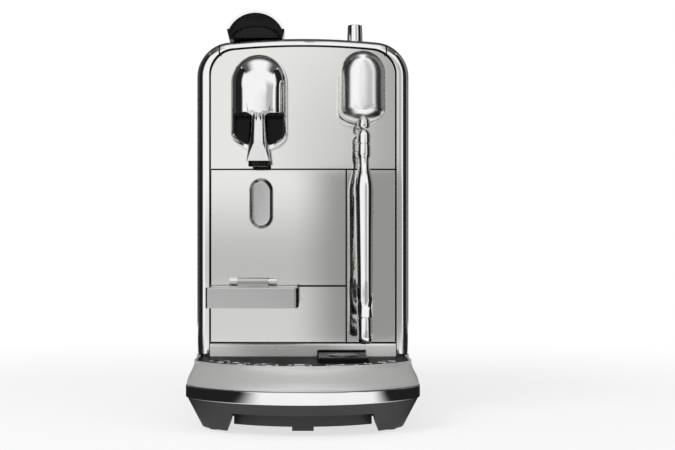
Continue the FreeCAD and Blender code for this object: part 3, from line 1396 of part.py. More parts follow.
def hose(points, bend):
    """Tube along straight runs joined by tangent arcs."""
    corners = [Vec(*point) for point in points]
    edges = []
    start = corners[0]
    for before, corner, after in zip(corners, corners[1:], corners[2:]):
        into = (corner - before).normalize()
        out = (after - corner).normalize()
        first = corner - into * bend
        last = corner + out * bend
        middle = corner + (out - into).normalize() * bend * (math.sqrt(2) - 1)
        edges.append(line(start, first))
        edges.append(arc(first, middle, last))
        start = last
    edges.append(line(start, corners[-1]))
    ring = Part.makeCircle(HOSE_R, corners[0], corners[1] - corners[0])
    return Part.Wire(edges).makePipeShell([Part.Wire([ring])], True, False)


def water_hoses():
    """Silicone hoses of the water path, five separate solids."""
    meter_in = METER_Y + METER_HALF
    meter_out = METER_Y - METER_HALF
    pump_in = PUMP_X[1] + PORT_RUN
    pump_out = PUMP_X[0] - PORT_RUN
    spigot_end = TANK_Y0 + SPIGOT_RUN[0]
    tank_to_meter = [(VALVE_X, spigot_end, INLET_Z), (VALVE_X, FEED_Y, INLET_Z), (VALVE_X, FEED_Y, PUMP_Z),
                     (VALVE_X, meter_in, PUMP_Z)]
    meter_to_pump = [(VALVE_X, meter_out, PUMP_Z), (VALVE_X, PUMP_Y, PUMP_Z), (pump_in, PUMP_Y, PUMP_Z)]
    pump_to_heater = [(pump_out, PUMP_Y, PUMP_Z), (RISER_X, PUMP_Y, PUMP_Z), (RISER_X, HEATER_MID_Y, PUMP_Z),
                      (RISER_X, HEATER_MID_Y, BIN_SHELF_Z + HEATER_LIFT)]
    heater_to_head = [(LEVER_X, HEATER_MID_Y, HEATER_PORT_Z), (LEVER_X, HEATER_MID_Y, CHAMBER_Z),
                      (LEVER_X, HEAD_INLET_Y[1], CHAMBER_Z)]
    boiler_to_wand = [(STEAM_PIPE_X, PUMP_Y, BOILER_PORT_Z[1]), (STEAM_PIPE_X, PUMP_Y, STEAM_PIPE_Z),
                      (STEAM_PIPE_X, PIPE_END_Y, STEAM_PIPE_Z)]
    return Part.makeCompound([
        hose(tank_to_meter, 8.0),
        hose(meter_to_pump, 9.0),
        hose(pump_to_heater, 5.5),
        hose(heater_to_head, 14.0),
        hose(boiler_to_wand, 14.0),
    ])


def water_pump():
    """Vibrating pump lying across the floor."""
    x0, x1 = PUMP_X
    core = rod_x(PUMP_R, x0, x1, PUMP_Y, PUMP_Z)
    coil = rod_x(COIL_R, *COIL_X, PUMP_Y, PUMP_Z)
    inlet = rod_x(HOSE_R, x1, x1 + PORT_RUN, PUMP_Y, PUMP_Z)
    outlet = rod_x(HOSE_R, x0 - PORT_RUN, x0, PUMP_Y, PUMP_Z)
    return fuse(core, coil, inlet, outlet)


def pump_mounts():
    """Rubber saddles under the pump, two separate solids."""
    saddles = []
    for x0 in SADDLE_X:
        block = box(x0, x0 + SADDLE_W, PUMP_Y - SADDLE_HALF, PUMP_Y + SADDLE_HALF, FLOOR_Z, SADDLE_TOP)
        saddles.append(block.cut(rod_x(PUMP_R, x0 - OVER, x0 + SADDLE_W + OVER, PUMP_Y, PUMP_Z)))
    return Part.makeCompound(saddles)


def flow_meter():
    """Turbine meter between tank and pump."""
    cup = rod_z(METER_R, VALVE_X, METER_Y, FLOOR_Z, METER_TOP)
    ports = rod_y(HOSE_R, VALVE_X, METER_Y - METER_HALF, METER_Y + METER_HALF, PUMP_Z)
    return fuse(cup, ports)


def coffee_heater():
    """Finned heater block behind the bin."""
    x0, x1 = HEATER_X
    y0, y1 = HEATER_Y
    low = BIN_SHELF_Z + HEATER_LIFT
    block = box(x0, x1, y0, y1, low, HEATER_TOP)
    outlet = rod_z(HOSE_R, LEVER_X, HEATER_MID_Y, HEATER_TOP - OVER, HEATER_PORT_Z)
    feet = []
    for foot_x in HEATER_FOOT_X:
        feet.append(box(foot_x, foot_x + HEATER_FOOT_W, y0 + HEATER_FOOT_SETIN, y1 - HEATER_FOOT_SETIN,
                        BIN_SHELF_Z, low + OVER))
    grooves = []
    width, depth = HEATER_GROOVE
    for row in range(HEATER_GROOVES):
        z = HEATER_GROOVE_Z + HEATER_GROOVE_PITCH * row
        grooves.append(box(x0 - OVER, x1 + OVER, y0 - OVER, y0 + depth, z, z + width))
    return fuse(block, outlet, *feet).cut(Part.makeCompound(grooves))


def steam_heater():
    """Steam heater bolted to the partition."""
    drum = rod_y(BOILER_R, BOILER_X, -BOILER_HALF, BOILER_HALF, BOILER_Z)
    caps = []
    for y0 in (-BOILER_HALF - BOILER_CAP_OUT, BOILER_HALF + BOILER_CAP_OUT - BOILER_CAP_T):
        caps.append(rod_y(BOILER_CAP_R, BOILER_X, y0, y0 + BOILER_CAP_T, BOILER_Z))
    half_y, half_z = BOILER_FLANGE_HALF
    flange = box(WALL_X, BOILER_FLANGE_X, -half_y, half_y, BOILER_Z - half_z, BOILER_Z + half_z)
    outlet = rod_z(HOSE_R, STEAM_PIPE_X, PUMP_Y, *BOILER_PORT_Z)
    return fuse(drum, flange, outlet, *caps)


def control_board():
    """Circuit board on stand-offs, with its relays and capacitors."""
    x0, x1 = BOARD_X
    y0, y1 = BOARD_Y
    pieces = []
    for x in (x0 + BOARD_POST_SETIN, x1 - BOARD_POST_SETIN):
        for y in (y0 + BOARD_POST_SETIN, y1 - BOARD_POST_SETIN):
            pieces.append(rod_z(BOARD_POST_R, x, y, BREW_SHELF_Z, BOARD_Z))
    for left, right, near, far, top in RELAYS:
        pieces.append(box(left, right, near, far, BOARD_TOP, top))
    for x in CAN_X:
        pieces.append(rod_z(CAN_R, x, CAN_Y, BOARD_TOP, CAN_TOP))
    return fuse(box(x0, x1, y0, y1, BOARD_Z, BOARD_TOP), *pieces)


def main():
    os.makedirs("parts", exist_ok=True)
    nodes = {
        "base_chassis": base_chassis(), "base_pan": base_pan(), "foot_pads": foot_pads(),
        "base_band": base_band(), "base_surround": base_surround(), "cable_gland": cable_gland(),
        "left_side_panel": side_panel(-1), "right_side_panel": side_panel(1), "top_cover": top_cover(),
        "display_lens": display_lens(), "display_module": display_module(),
        "control_switches": control_switches(), "rear_cover": rear_cover(), "fasteners": fasteners(),
        "inner_frame": inner_frame(), "front_panel": front_panel(), "lower_front_panel": lower_front_panel(),
        "steam_front_panel": steam_front_panel(), "spout_housing": spout_housing(), "spout": spout(),
        "spout_liner": spout_liner(), "steam_head": steam_head(), "wand_clevis": wand_clevis(),
        "wand_pin": wand_pin(), "wand_knuckle": wand_knuckle(), "wand_grip": wand_grip(),
        "wand_tube": wand_tube(), "wand_tip": wand_tip(), "capsule_bin": capsule_bin(),
        "bin_door": bin_door(), "cup_support": cup_support(), "cup_support_pin": cup_support_pin(),
        "tray_skirt": tray_skirt(), "tray_basin": tray_basin(), "drip_grid": drip_grid(),
        "tray_deck": tray_deck(), "tray_ledge": tray_ledge(), "jug_sensor_pad": jug_sensor_pad(),
        "jug_sensor_disc": jug_sensor_disc(), "lever_cover": lever_cover(), "lever_handle": lever_handle(),
        "lever_pivot_pin": lever_pivot_pin(), "brew_housing": brew_housing(),
        "injection_head": injection_head(), "brew_carriage": brew_carriage(),
        "selector_dial": selector_dial(), "start_button": start_button(),
        "water_tank": water_tank(), "tank_lid": tank_lid(), "lid_pin": lid_pin(), "tank_valve": tank_valve(),
        "tank_dock": tank_dock(), "water_hoses": water_hoses(), "water_pump": water_pump(),
        "pump_mounts": pump_mounts(), "flow_meter": flow_meter(), "coffee_heater": coffee_heater(),
        "steam_heater": steam_heater(), "control_board": control_board(),
    }
    for name, shape in nodes.items():
        print(name, "solids", len(shape.Solids), "valid", shape.isValid(), "volume", round(shape.Volume))
        shape.exportStep("parts/" + name + ".step")


main()
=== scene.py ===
import bpy
import bmesh
import json
import math
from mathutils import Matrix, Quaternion, Vector


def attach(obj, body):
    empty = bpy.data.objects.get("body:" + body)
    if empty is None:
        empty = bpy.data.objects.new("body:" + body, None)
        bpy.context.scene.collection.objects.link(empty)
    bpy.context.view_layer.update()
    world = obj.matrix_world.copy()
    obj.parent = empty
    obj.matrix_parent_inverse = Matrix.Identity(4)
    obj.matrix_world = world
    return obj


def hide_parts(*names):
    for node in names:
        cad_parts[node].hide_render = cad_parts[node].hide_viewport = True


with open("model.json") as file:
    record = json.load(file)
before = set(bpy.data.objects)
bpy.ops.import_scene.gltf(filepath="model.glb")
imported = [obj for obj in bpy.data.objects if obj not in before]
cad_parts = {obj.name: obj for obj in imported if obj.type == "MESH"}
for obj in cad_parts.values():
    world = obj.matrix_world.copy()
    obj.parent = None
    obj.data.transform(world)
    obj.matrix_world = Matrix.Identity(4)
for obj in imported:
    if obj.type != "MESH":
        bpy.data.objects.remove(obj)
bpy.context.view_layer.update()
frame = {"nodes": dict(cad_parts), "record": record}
nodes = frame["nodes"]
print("frame loaded,", len(nodes), "nodes")


# finishes

noiseSpan = (0.3, 0.7)  # the part of a noise pattern that a finish is stretched over
evenly = (1, 1, 1)


def newFinish(name):
    mat = bpy.data.materials.new(name)
    mat.use_nodes = True
    tree = mat.node_tree
    return mat, tree, tree.nodes["Principled BSDF"]


def addNode(tree, kind, **values):
    node = tree.nodes.new(kind)
    for key, value in values.items():
        if key in node.inputs:
            node.inputs[key].default_value = value
        else:
            setattr(node, key, value)
    return node


def objectSpace(tree, scale=evenly):
    coords = addNode(tree, "ShaderNodeTexCoord")
    place = addNode(tree, "ShaderNodeMapping", Scale=scale)
    tree.links.new(coords.outputs["Object"], place.inputs["Vector"])
    return place.outputs["Vector"]


def along(tree, axis):
    coords = addNode(tree, "ShaderNodeTexCoord")
    parts = addNode(tree, "ShaderNodeSeparateXYZ")
    tree.links.new(coords.outputs["Object"], parts.inputs["Vector"])
    return parts.outputs[axis]


def noiseOn(tree, vector, scale, detail=3.0, rough=0.5):
    noise = addNode(tree, "ShaderNodeTexNoise", Scale=scale, Detail=detail, Roughness=rough)
    tree.links.new(vector, noise.inputs["Vector"])
    return noise.outputs["Fac"]


def ranged(tree, value, span, result, kind="LINEAR"):
    # span of the value turned into the span of the result
    node = addNode(tree, "ShaderNodeMapRange", interpolation_type=kind)
    for socket, number in zip(("From Min", "From Max", "To Min", "To Max"), (*span, *result)):
        node.inputs[socket].default_value = number
    tree.links.new(value, node.inputs["Value"])
    return node.outputs["Result"]


def spread(tree, value, result):
    return ranged(tree, value, noiseSpan, result)


def combined(tree, operation, first, second):
    node = addNode(tree, "ShaderNodeMath", operation=operation)
    tree.links.new(first, node.inputs[0])
    tree.links.new(second, node.inputs[1])
    return node.outputs[0]


def twoTones(tree, value, tone, share):
    # from a share of the tone up to the tone itself
    ramp = addNode(tree, "ShaderNodeValToRGB")
    for stop, position, part in zip(ramp.color_ramp.elements, noiseSpan, (share, 1)):
        stop.position = position
        stop.color = (*(channel * part for channel in tone), 1)
    tree.links.new(value, ramp.inputs["Fac"])
    return ramp.outputs["Color"]


def bumpFrom(tree, shader, value, strength, distance):
    bump = addNode(tree, "ShaderNodeBump", Strength=strength, Distance=distance)
    tree.links.new(value, bump.inputs["Height"])
    tree.links.new(bump.outputs["Normal"], shader.inputs["Normal"])


brushing = {"detail": 4, "rough": 0.6, "cloudScale": 22, "cloudDetail": 2, "anisotropic": 0.35,
            "deep": 0.00002}


def brushPatterns(tree, grain):
    # grain: noise scale along x, y, z, the small number runs along the brushing
    lines = noiseOn(tree, objectSpace(tree, grain), 1, brushing["detail"], brushing["rough"])
    cloud = noiseOn(tree, objectSpace(tree), brushing["cloudScale"], brushing["cloudDetail"])
    return lines, cloud


def brushedSteel(name, tone, grain, rough, bump, streak=0.94, metal=1.0):
    # streak darkens the lines
    mat, tree, shader = newFinish(name)
    shader.inputs["Metallic"].default_value = metal
    shader.inputs["Anisotropic"].default_value = brushing["anisotropic"]
    lines, cloud = brushPatterns(tree, grain)
    tree.links.new(twoTones(tree, lines, tone, streak), shader.inputs["Base Color"])
    tree.links.new(spread(tree, cloud, rough), shader.inputs["Roughness"])
    bumpFrom(tree, shader, lines, bump, brushing["deep"])
    return mat


skin = {"streak": 0.97, "wear": (0.85, 1.15), "bump": 0.02}


def skinSteel(name, tone, grain, front, polished, satin):
    # polished on the front frame, satin from there back; both are (metal, rough), front is where it turns
    mat, tree, shader = newFinish(name)
    lines, cloud = brushPatterns(tree, grain)
    depth = along(tree, "Y")
    metal, rough = [ranged(tree, depth, front, ends, "SMOOTHSTEP") for ends in zip(polished, satin)]
    worn = combined(tree, "MULTIPLY", rough, spread(tree, cloud, skin["wear"]))
    tree.links.new(twoTones(tree, lines, tone, skin["streak"]), shader.inputs["Base Color"])
    tree.links.new(metal, shader.inputs["Metallic"])
    tree.links.new(worn, shader.inputs["Roughness"])
    bumpFrom(tree, shader, lines, skin["bump"], brushing["deep"])
    return mat


plating = {"hazeScale": 60, "haze": 0.96, "deep": 0.00005}


def chromePlate(name, tone, rough, ripple, edge=1.0):
    # edge dims what is seen at a flat angle
    mat, tree, shader = newFinish(name)
    shader.inputs["Metallic"].default_value = 1
    shader.inputs["Specular Tint"].default_value = (edge, edge, edge, 1)
    haze = noiseOn(tree, objectSpace(tree), plating["hazeScale"])
    tree.links.new(twoTones(tree, haze, tone, plating["haze"]), shader.inputs["Base Color"])
    tree.links.new(spread(tree, haze, rough), shader.inputs["Roughness"])
    bumpFrom(tree, shader, haze, ripple, plating["deep"])
    return mat


moulding = {"grainDetail": 2, "cloudScale": 35, "cloud": 0.82, "deep": 0.0001}


def mouldedPlastic(name, tone, rough, texture, grainSize=1500, shine=0.45):
    mat, tree, shader = newFinish(name)
    shader.inputs["Specular IOR Level"].default_value = shine
    grain = noiseOn(tree, objectSpace(tree), grainSize, moulding["grainDetail"])
    cloud = noiseOn(tree, objectSpace(tree), moulding["cloudScale"])
    tree.links.new(twoTones(tree, cloud, tone, moulding["cloud"]), shader.inputs["Base Color"])
    tree.links.new(spread(tree, cloud, rough), shader.inputs["Roughness"])
    bumpFrom(tree, shader, grain, texture, moulding["deep"])
    return mat


clearing = {"ior": 1.2, "cloudScale": 30, "cloudDetail": 2, "cloud": 0.93}


def tankPlastic(name, tone, rough):
    mat, tree, shader = newFinish(name)
    shader.inputs["Transmission Weight"].default_value = 1
    shader.inputs["IOR"].default_value = clearing["ior"]
    cloud = noiseOn(tree, objectSpace(tree), clearing["cloudScale"], clearing["cloudDetail"])
    tree.links.new(twoTones(tree, cloud, tone, clearing["cloud"]), shader.inputs["Base Color"])
    tree.links.new(spread(tree, cloud, rough), shader.inputs["Roughness"])
    return mat


acrossPanel = (35, 1500, 1500)
acrossSkirt = (40, 1200, 1600)
alongBody = (1500, 30, 1500)
castGrain = (300, 300, 300)
frameTurn = (-0.0685, -0.060)  # where the front frame's polish ends, along y
finishes = {
    "brushed_panel": brushedSteel("brushedPanel", (0.80, 0.795, 0.775), acrossPanel, (0.05, 0.075), 0.012,
                                  streak=0.98),
    "body_steel": skinSteel("skinSteel", (0.90, 0.90, 0.89), alongBody, frameTurn, (1.0, 0.085), (0.6, 0.42)),
    "cup_steel": brushedSteel("cupSteel", (0.58, 0.58, 0.575), acrossPanel, (0.2, 0.26), 0.2),
    "skirt_steel": brushedSteel("skirtSteel", (0.64, 0.64, 0.63), acrossSkirt, (0.36, 0.42), 0.3, metal=0.4),
    # painted shade: the polished tray plate gets a near-black tone and a dimmed flat-angle reflection,
    # standing for the shaded parts it mirrors
    "tray_polish": chromePlate("trayPolish", (0.11, 0.11, 0.11), (0.36, 0.44), 0.05, edge=0.3),
    "bright_chrome": chromePlate("brightChrome", (0.92, 0.92, 0.92), (0.04, 0.07), 0.03),
    "satin_chrome": chromePlate("satinChrome", (0.97, 0.97, 0.965), (0.24, 0.27), 0.006),
    "pin_steel": chromePlate("groundSteel", (0.80, 0.80, 0.80), (0.10, 0.14), 0.03),
    "base_plastic": mouldedPlastic("basePlastic", (0.036, 0.037, 0.039), (0.38, 0.5), 0.25),
    "black_gloss": mouldedPlastic("glossBlack", (0.008, 0.008, 0.009), (0.1, 0.17), 0.02, shine=0.14),
    "sensor_black": mouldedPlastic("sensorBlack", (0.006, 0.006, 0.007), (0.3, 0.4), 0.15, shine=0.1),
    "foot_rubber": mouldedPlastic("footRubber", (0.03, 0.03, 0.03), (0.7, 0.85), 0.4, grainSize=900),
    "tank_clear": tankPlastic("smokedTank", (0.62, 0.65, 0.67), (0.03, 0.07)),
    "tank_lid_plastic": mouldedPlastic("lidPlastic", (0.035, 0.036, 0.038), (0.25, 0.35), 0.15),
    "inner_plastic": mouldedPlastic("innerPlastic", (0.30, 0.30, 0.31), (0.45, 0.6), 0.2),
    "heater_metal": brushedSteel("castHeater", (0.62, 0.63, 0.64), castGrain, (0.4, 0.5), 0.5),
    "pump_metal": mouldedPlastic("pumpPaint", (0.16, 0.17, 0.19), (0.4, 0.55), 0.2),
    "hose_silicone": mouldedPlastic("hoseSilicone", (0.72, 0.72, 0.69), (0.35, 0.5), 0.1),
    "board_green": mouldedPlastic("boardGreen", (0.05, 0.22, 0.10), (0.25, 0.4), 0.1),
}
# two nodes with a finish of their own: the dark sensor disc and the satin ledge at the tray's back
ownFinish = {
    "jug_sensor_disc": chromePlate("discSteel", (0.12, 0.12, 0.12), (0.2, 0.3), 0.03),
    # painted reflection: the steel ledge gets a near-white, mostly unmetallic tone, standing for the bright
    # room it mirrors along its top
    "tray_ledge": brushedSteel("ledgeSteel", (0.97, 0.97, 0.96), acrossSkirt, (0.25, 0.35), 0.1, metal=0.25),
}
slotOf = {item["node"]: item["material_slot"] for item in frame["record"]["subparts"]}
for name, node in nodes.items():
    for slot in node.material_slots:
        slot.material = ownFinish.get(name, finishes[slotOf[name]])
print("finishes on", len(slotOf), "nodes")


# modelling helpers, all in edit mode on one piece at a time

touch = 1e-6  # how near a picked point lies to its level
weld = 0.00002
speck = 0.001  # side of the plane that a wire starts from, merged to a point
outlinePoints = 96


def clearPick():
    bpy.ops.object.select_all(action="DESELECT")


def onlyPick(piece):
    clearPick()
    piece.select_set(True)
    bpy.context.view_layer.objects.active = piece


def bakePlace():
    bpy.ops.object.transform_apply(location=True, rotation=True, scale=True)


def middleOf(item):
    if isinstance(item, bmesh.types.BMVert):
        return item.co
    if isinstance(item, bmesh.types.BMFace):
        return item.calc_center_median()
    return (item.verts[0].co + item.verts[1].co) / 2


def beginEdit(piece):
    onlyPick(piece)
    bpy.ops.object.mode_set(mode="EDIT")
    bpy.ops.mesh.select_mode(type="VERT")


def endEdit():
    bpy.ops.object.mode_set(mode="OBJECT")


def pick(piece, kind, test):
    bpy.ops.mesh.select_mode(type=kind)
    bpy.ops.mesh.select_all(action="DESELECT")
    mesh = bmesh.from_edit_mesh(piece.data)
    found = {"VERT": mesh.verts, "EDGE": mesh.edges, "FACE": mesh.faces}[kind]
    for item in found:
        if test(middleOf(item)):
            item.select_set(True)
    bmesh.update_edit_mesh(piece.data)


def pickLevel(piece, kind, axis, level):
    pick(piece, kind, lambda co: abs(co["xyz".index(axis)] - level) < touch)


def pickAll():
    bpy.ops.mesh.select_all(action="SELECT")


def pushOut(step):
    bpy.ops.mesh.extrude_region_move(TRANSFORM_OT_translate={"value": step})


def outwards():
    pickAll()
    bpy.ops.mesh.remove_doubles(threshold=weld)
    bpy.ops.mesh.normals_make_consistent(inside=False)


def cutAway(piece, tool):
    # boolean the tool out of the piece and throw the tool away
    onlyPick(piece)
    cut = piece.modifiers.new("cut", "BOOLEAN")
    cut.operation = "DIFFERENCE"
    cut.solver = "EXACT"
    cut.object = tool
    bpy.ops.object.modifier_apply(modifier="cut")
    bpy.data.objects.remove(tool)


def seatPiece(piece, name, body, slot, *replaced, angle=35):
    onlyPick(piece)
    bakePlace()
    bpy.ops.object.shade_smooth_by_angle(angle=math.radians(angle))
    piece.name = name
    piece.data.materials.clear()
    piece.data.materials.append(finishes[slot])
    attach(piece, body)
    if replaced:
        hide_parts(*replaced)


def boxFrom(*spans):
    # a block from its (low, high) along x, y and z
    clearPick()
    bpy.ops.mesh.primitive_cube_add(size=1, location=[(low + high) / 2 for low, high in spans])
    piece = bpy.context.object
    piece.scale = [high - low for low, high in spans]
    bakePlace()
    return piece


def ringAt(x, y, z, radius, count, turn=(0, 0, 0)):
    clearPick()
    bpy.ops.mesh.primitive_circle_add(vertices=count, radius=radius, location=(x, y, z), rotation=turn)
    piece = bpy.context.object
    bakePlace()
    return piece


def stadiumRing(half, low, high, x, y, foot):
    # upright stadium outline; foot flattens its lower arc
    mid = (low + high) / 2
    rise = (high - low) / 2 - half
    piece = ringAt(x, y, mid, half, outlinePoints, (math.pi / 2, 0, 0))
    beginEdit(piece)
    pick(piece, "VERT", lambda co: co.z > mid + touch)
    bpy.ops.transform.translate(value=(0, 0, rise))
    pick(piece, "VERT", lambda co: co.z < mid - touch)
    bpy.ops.transform.resize(value=(1, 1, foot), center_override=(x, y, mid))
    bpy.ops.transform.translate(value=(0, 0, -rise - half * (1 - foot)))
    endEdit()
    return piece


def capEnds(piece, axis, *levels):
    # close the open rings at these places along the axis
    for level in levels:
        pickLevel(piece, "EDGE", axis, level)
        bpy.ops.mesh.edge_face_add()


def stadiumBlock(half, low, high, x, back, front, foot=1.0):
    # the outline pulled towards the viewer, closed at both ends
    piece = stadiumRing(half, low, high, x, back, foot)
    beginEdit(piece)
    pick(piece, "EDGE", lambda co: True)
    pushOut((0, front - back, 0))
    capEnds(piece, "y", back, front)
    outwards()
    endEdit()
    return piece


crowning = {"steps": 20, "turn": 88}


def crownedBlock(size):
    # the same with a crowned front: each ring is drawn in further than the last, square 2 is a round edge
    x, half, back, front, edge = [size[key] for key in ("x", "half", "back", "front", "edge")]
    low, high, square, tallCrown = [size[key] for key in ("low", "high", "square", "tallCrown")]
    tall, mid = (high - low) / 2, (low + high) / 2
    piece = stadiumRing(half, low, high, x, back, size["foot"])
    beginEdit(piece)
    pick(piece, "EDGE", lambda co: True)
    pushOut((0, front + edge - back, 0))
    inset, depth = 0.0, front + edge
    for step in range(1, crowning["steps"] + 1):
        turn = step / crowning["steps"] * math.radians(crowning["turn"])
        nextInset = edge * (1 - math.cos(turn) ** (2 / square))
        nextDepth = front + edge * (1 - math.sin(turn) ** (2 / square))
        pushOut((0, nextDepth - depth, 0))
        upright = (tall - tallCrown * nextInset) / (tall - tallCrown * inset)
        drawn = ((half - nextInset) / (half - inset), 1, upright)
        bpy.ops.transform.resize(value=drawn, center_override=(x, nextDepth, mid))
        inset, depth = nextInset, nextDepth
    capEnds(piece, "y", back, depth)
    outwards()
    endEdit()
    return piece


def bottomUp(sections, x, count):
    # rings of (half width, half depth, y, z), each pulled out of the one before
    wide, deep, y, z = sections[0]
    piece = ringAt(x, y, z, 1, count)
    beginEdit(piece)
    pickAll()
    bpy.ops.transform.resize(value=(wide, deep, 1), center_override=(x, y, z))
    for last, now in zip(sections, sections[1:]):
        pushOut((0, now[2] - last[2], now[3] - last[3]))
        grown = (now[0] / last[0], now[1] / last[1], 1)
        bpy.ops.transform.resize(value=grown, center_override=(x, now[2], now[3]))
    endEdit()
    return piece


def traced(path):
    # a wire from point to point, left in edit mode
    clearPick()
    bpy.ops.mesh.primitive_plane_add(size=speck, location=(0, 0, 0))
    piece = bpy.context.object
    beginEdit(piece)
    pickAll()
    bpy.ops.mesh.merge(type="CENTER")
    pickAll()
    bpy.ops.transform.translate(value=path[0])
    for last, now in zip(path, path[1:]):
        pushOut([end - start for start, end in zip(last, now)])
    pickAll()
    return piece


def turned(profile, steps=48):
    # radius and height pairs, spun round the z axis at the origin
    piece = traced([(radius, 0, height) for radius, height in profile])
    bpy.ops.mesh.spin(steps=steps, angle=2 * math.pi, center=(0, 0, 0), axis=(0, 0, 1))
    outwards()
    endEdit()
    return piece


# outlet: crowned hood with a dark niche, the spout that hangs in it and its black insert

hood = {"x": -0.0332, "half": 0.0221, "low": 0.2043, "high": 0.2772, "back": -0.0722, "front": -0.1042,
        "edge": 0.0205, "square": 2.3, "foot": 0.62, "tallCrown": 1.6,
        "visor": 0.2309, "lip": 0.0014, "lipSteps": 6, "lipDeep": 0.009, "lipNear": 1e-5,
        "wall": 0.003, "nicheFoot": 0.56, "nicheBack": -0.0792, "nicheClear": 0.004, "nicheSpare": 0.03,
        "slotHalf": 0.0115, "slotBack": -0.086, "slotClear": 0.01, "slotTall": 0.03}
lining = {"gap": 0.0002, "thick": 0.0009, "top": 0.2307, "front": -0.0945, "clear": 0.005}


def nicheBlock(inset, back, front, top):
    # the hollow below the visor, flat on top
    x = hood["x"]
    wall = hood["wall"] + inset
    spare = top + hood["nicheSpare"]
    block = stadiumBlock(hood["half"] - wall, hood["low"] + wall, spare, x, back, front, hood["nicheFoot"])
    beginEdit(block)
    pickAll()
    bpy.ops.mesh.bisect(plane_co=(x, front, top), plane_no=(0, 0, 1), use_fill=True, clear_outer=True)
    endEdit()
    return block


def slotBlock():
    # the gap in the lower rim that the spout comes through
    x, half = hood["x"], hood["slotHalf"]
    low, tall = hood["low"], hood["slotTall"]
    deep = (hood["front"] - hood["slotClear"], hood["slotBack"])
    return boxFrom((x - half, x + half), deep, (low - tall / 2, low + tall / 2))


def makeHood():
    dome = crownedBlock(hood)
    edge, front = hood["visor"], hood["front"]
    cutAway(dome, nicheBlock(0, hood["nicheBack"], front - hood["nicheClear"], edge))
    cutAway(dome, slotBlock())
    beginEdit(dome)
    pick(dome, "EDGE", lambda co: abs(co.z - edge) < hood["lipNear"] and co.y < front + hood["lipDeep"])
    bpy.ops.mesh.bevel(offset=hood["lip"], segments=hood["lipSteps"], affect="EDGES")
    endEdit()
    seatPiece(dome, "outletHood", "machine", "bright_chrome", "spout_housing", angle=40)


def makeLining():
    outer, inner = lining["gap"], lining["gap"] + lining["thick"]
    front, top = lining["front"], lining["top"]
    shell = nicheBlock(outer, hood["nicheBack"] - outer, front, top)
    hollow = nicheBlock(inner, hood["nicheBack"] - inner, front - lining["clear"], top - lining["thick"])
    cutAway(shell, hollow)
    cutAway(shell, slotBlock())
    seatPiece(shell, "nicheLining", "machine", "black_gloss")


nozzle = {"x": -0.0335, "rings": [(0.0062, 0.0062, -0.0895, 0.2400), (0.0067, 0.0066, -0.0928, 0.2220),
                                  (0.0080, 0.0070, -0.0965, 0.2050), (0.0092, 0.0073, -0.0985, 0.1955)],
          "points": 96, "face": -0.1020, "mouthWall": 0.0013, "mouthDeep": 0.006}
insert = {"rings": [(0.0074, 0.0042, -0.0958, 0.2005), (0.0076, 0.0044, -0.0957, 0.1925),
                    (0.0073, 0.0041, -0.0957, 0.1914)],
          "points": 48, "rim": 0.0016, "bore": 0.005}


def sinkMouth(piece, level, rim, deep):
    pickLevel(piece, "FACE", "z", level)
    bpy.ops.mesh.inset(thickness=rim)
    pushOut((0, 0, deep))


def makeNozzle():
    x = nozzle["x"]
    top, end = nozzle["rings"][0][3], nozzle["rings"][-1][3]
    piece = bottomUp(nozzle["rings"], x, nozzle["points"])
    beginEdit(piece)
    capEnds(piece, "z", top, end)
    # the flat pressed into the front of the nozzle, arched at its top
    pickAll()
    face = (x, nozzle["face"], end)
    bpy.ops.mesh.bisect(plane_co=face, plane_no=(0, -1, 0), use_fill=True, clear_outer=True)
    sinkMouth(piece, end, nozzle["mouthWall"], nozzle["mouthDeep"])
    outwards()
    endEdit()
    seatPiece(piece, "spoutNozzle", "machine", "pin_steel", "spout", angle=6)


def makeInsert():
    top, end = insert["rings"][0][3], insert["rings"][-1][3]
    piece = bottomUp(insert["rings"], nozzle["x"], insert["points"])
    beginEdit(piece)
    capEnds(piece, "z", top, end)
    sinkMouth(piece, end, insert["rim"], insert["bore"])
    outwards()
    endEdit()
    seatPiece(piece, "outletInsert", "machine", "black_gloss", "spout_liner")


# steam head: satin pill on the right

pill = {"x": 0.0446, "half": 0.0172, "low": 0.2244, "high": 0.2778, "back": -0.0762, "front": -0.1152,
        "edge": 0.0160, "square": 2.2, "foot": 0.58, "tallCrown": 0.6,
        "backEdge": 0.007, "backSteps": 8, "neckInset": 0.0005, "neckEnd": -0.0718}


def makePill():
    piece = crownedBlock(pill)
    back = pill["back"]
    beginEdit(piece)
    pickLevel(piece, "EDGE", "y", back)
    bpy.ops.mesh.bevel(offset=pill["backEdge"], segments=pill["backSteps"], affect="EDGES")
    # the short neck that reaches into the front panel
    pickLevel(piece, "FACE", "y", back)
    bpy.ops.mesh.inset(thickness=pill["neckInset"])
    pushOut((0, pill["neckEnd"] - back, 0))
    endEdit()
    seatPiece(piece, "steamPill", "machine", "satin_chrome", "steam_head")


# wand: fixed collar, then knuckle, grip, tube and tip, turned and leaned on the hinge

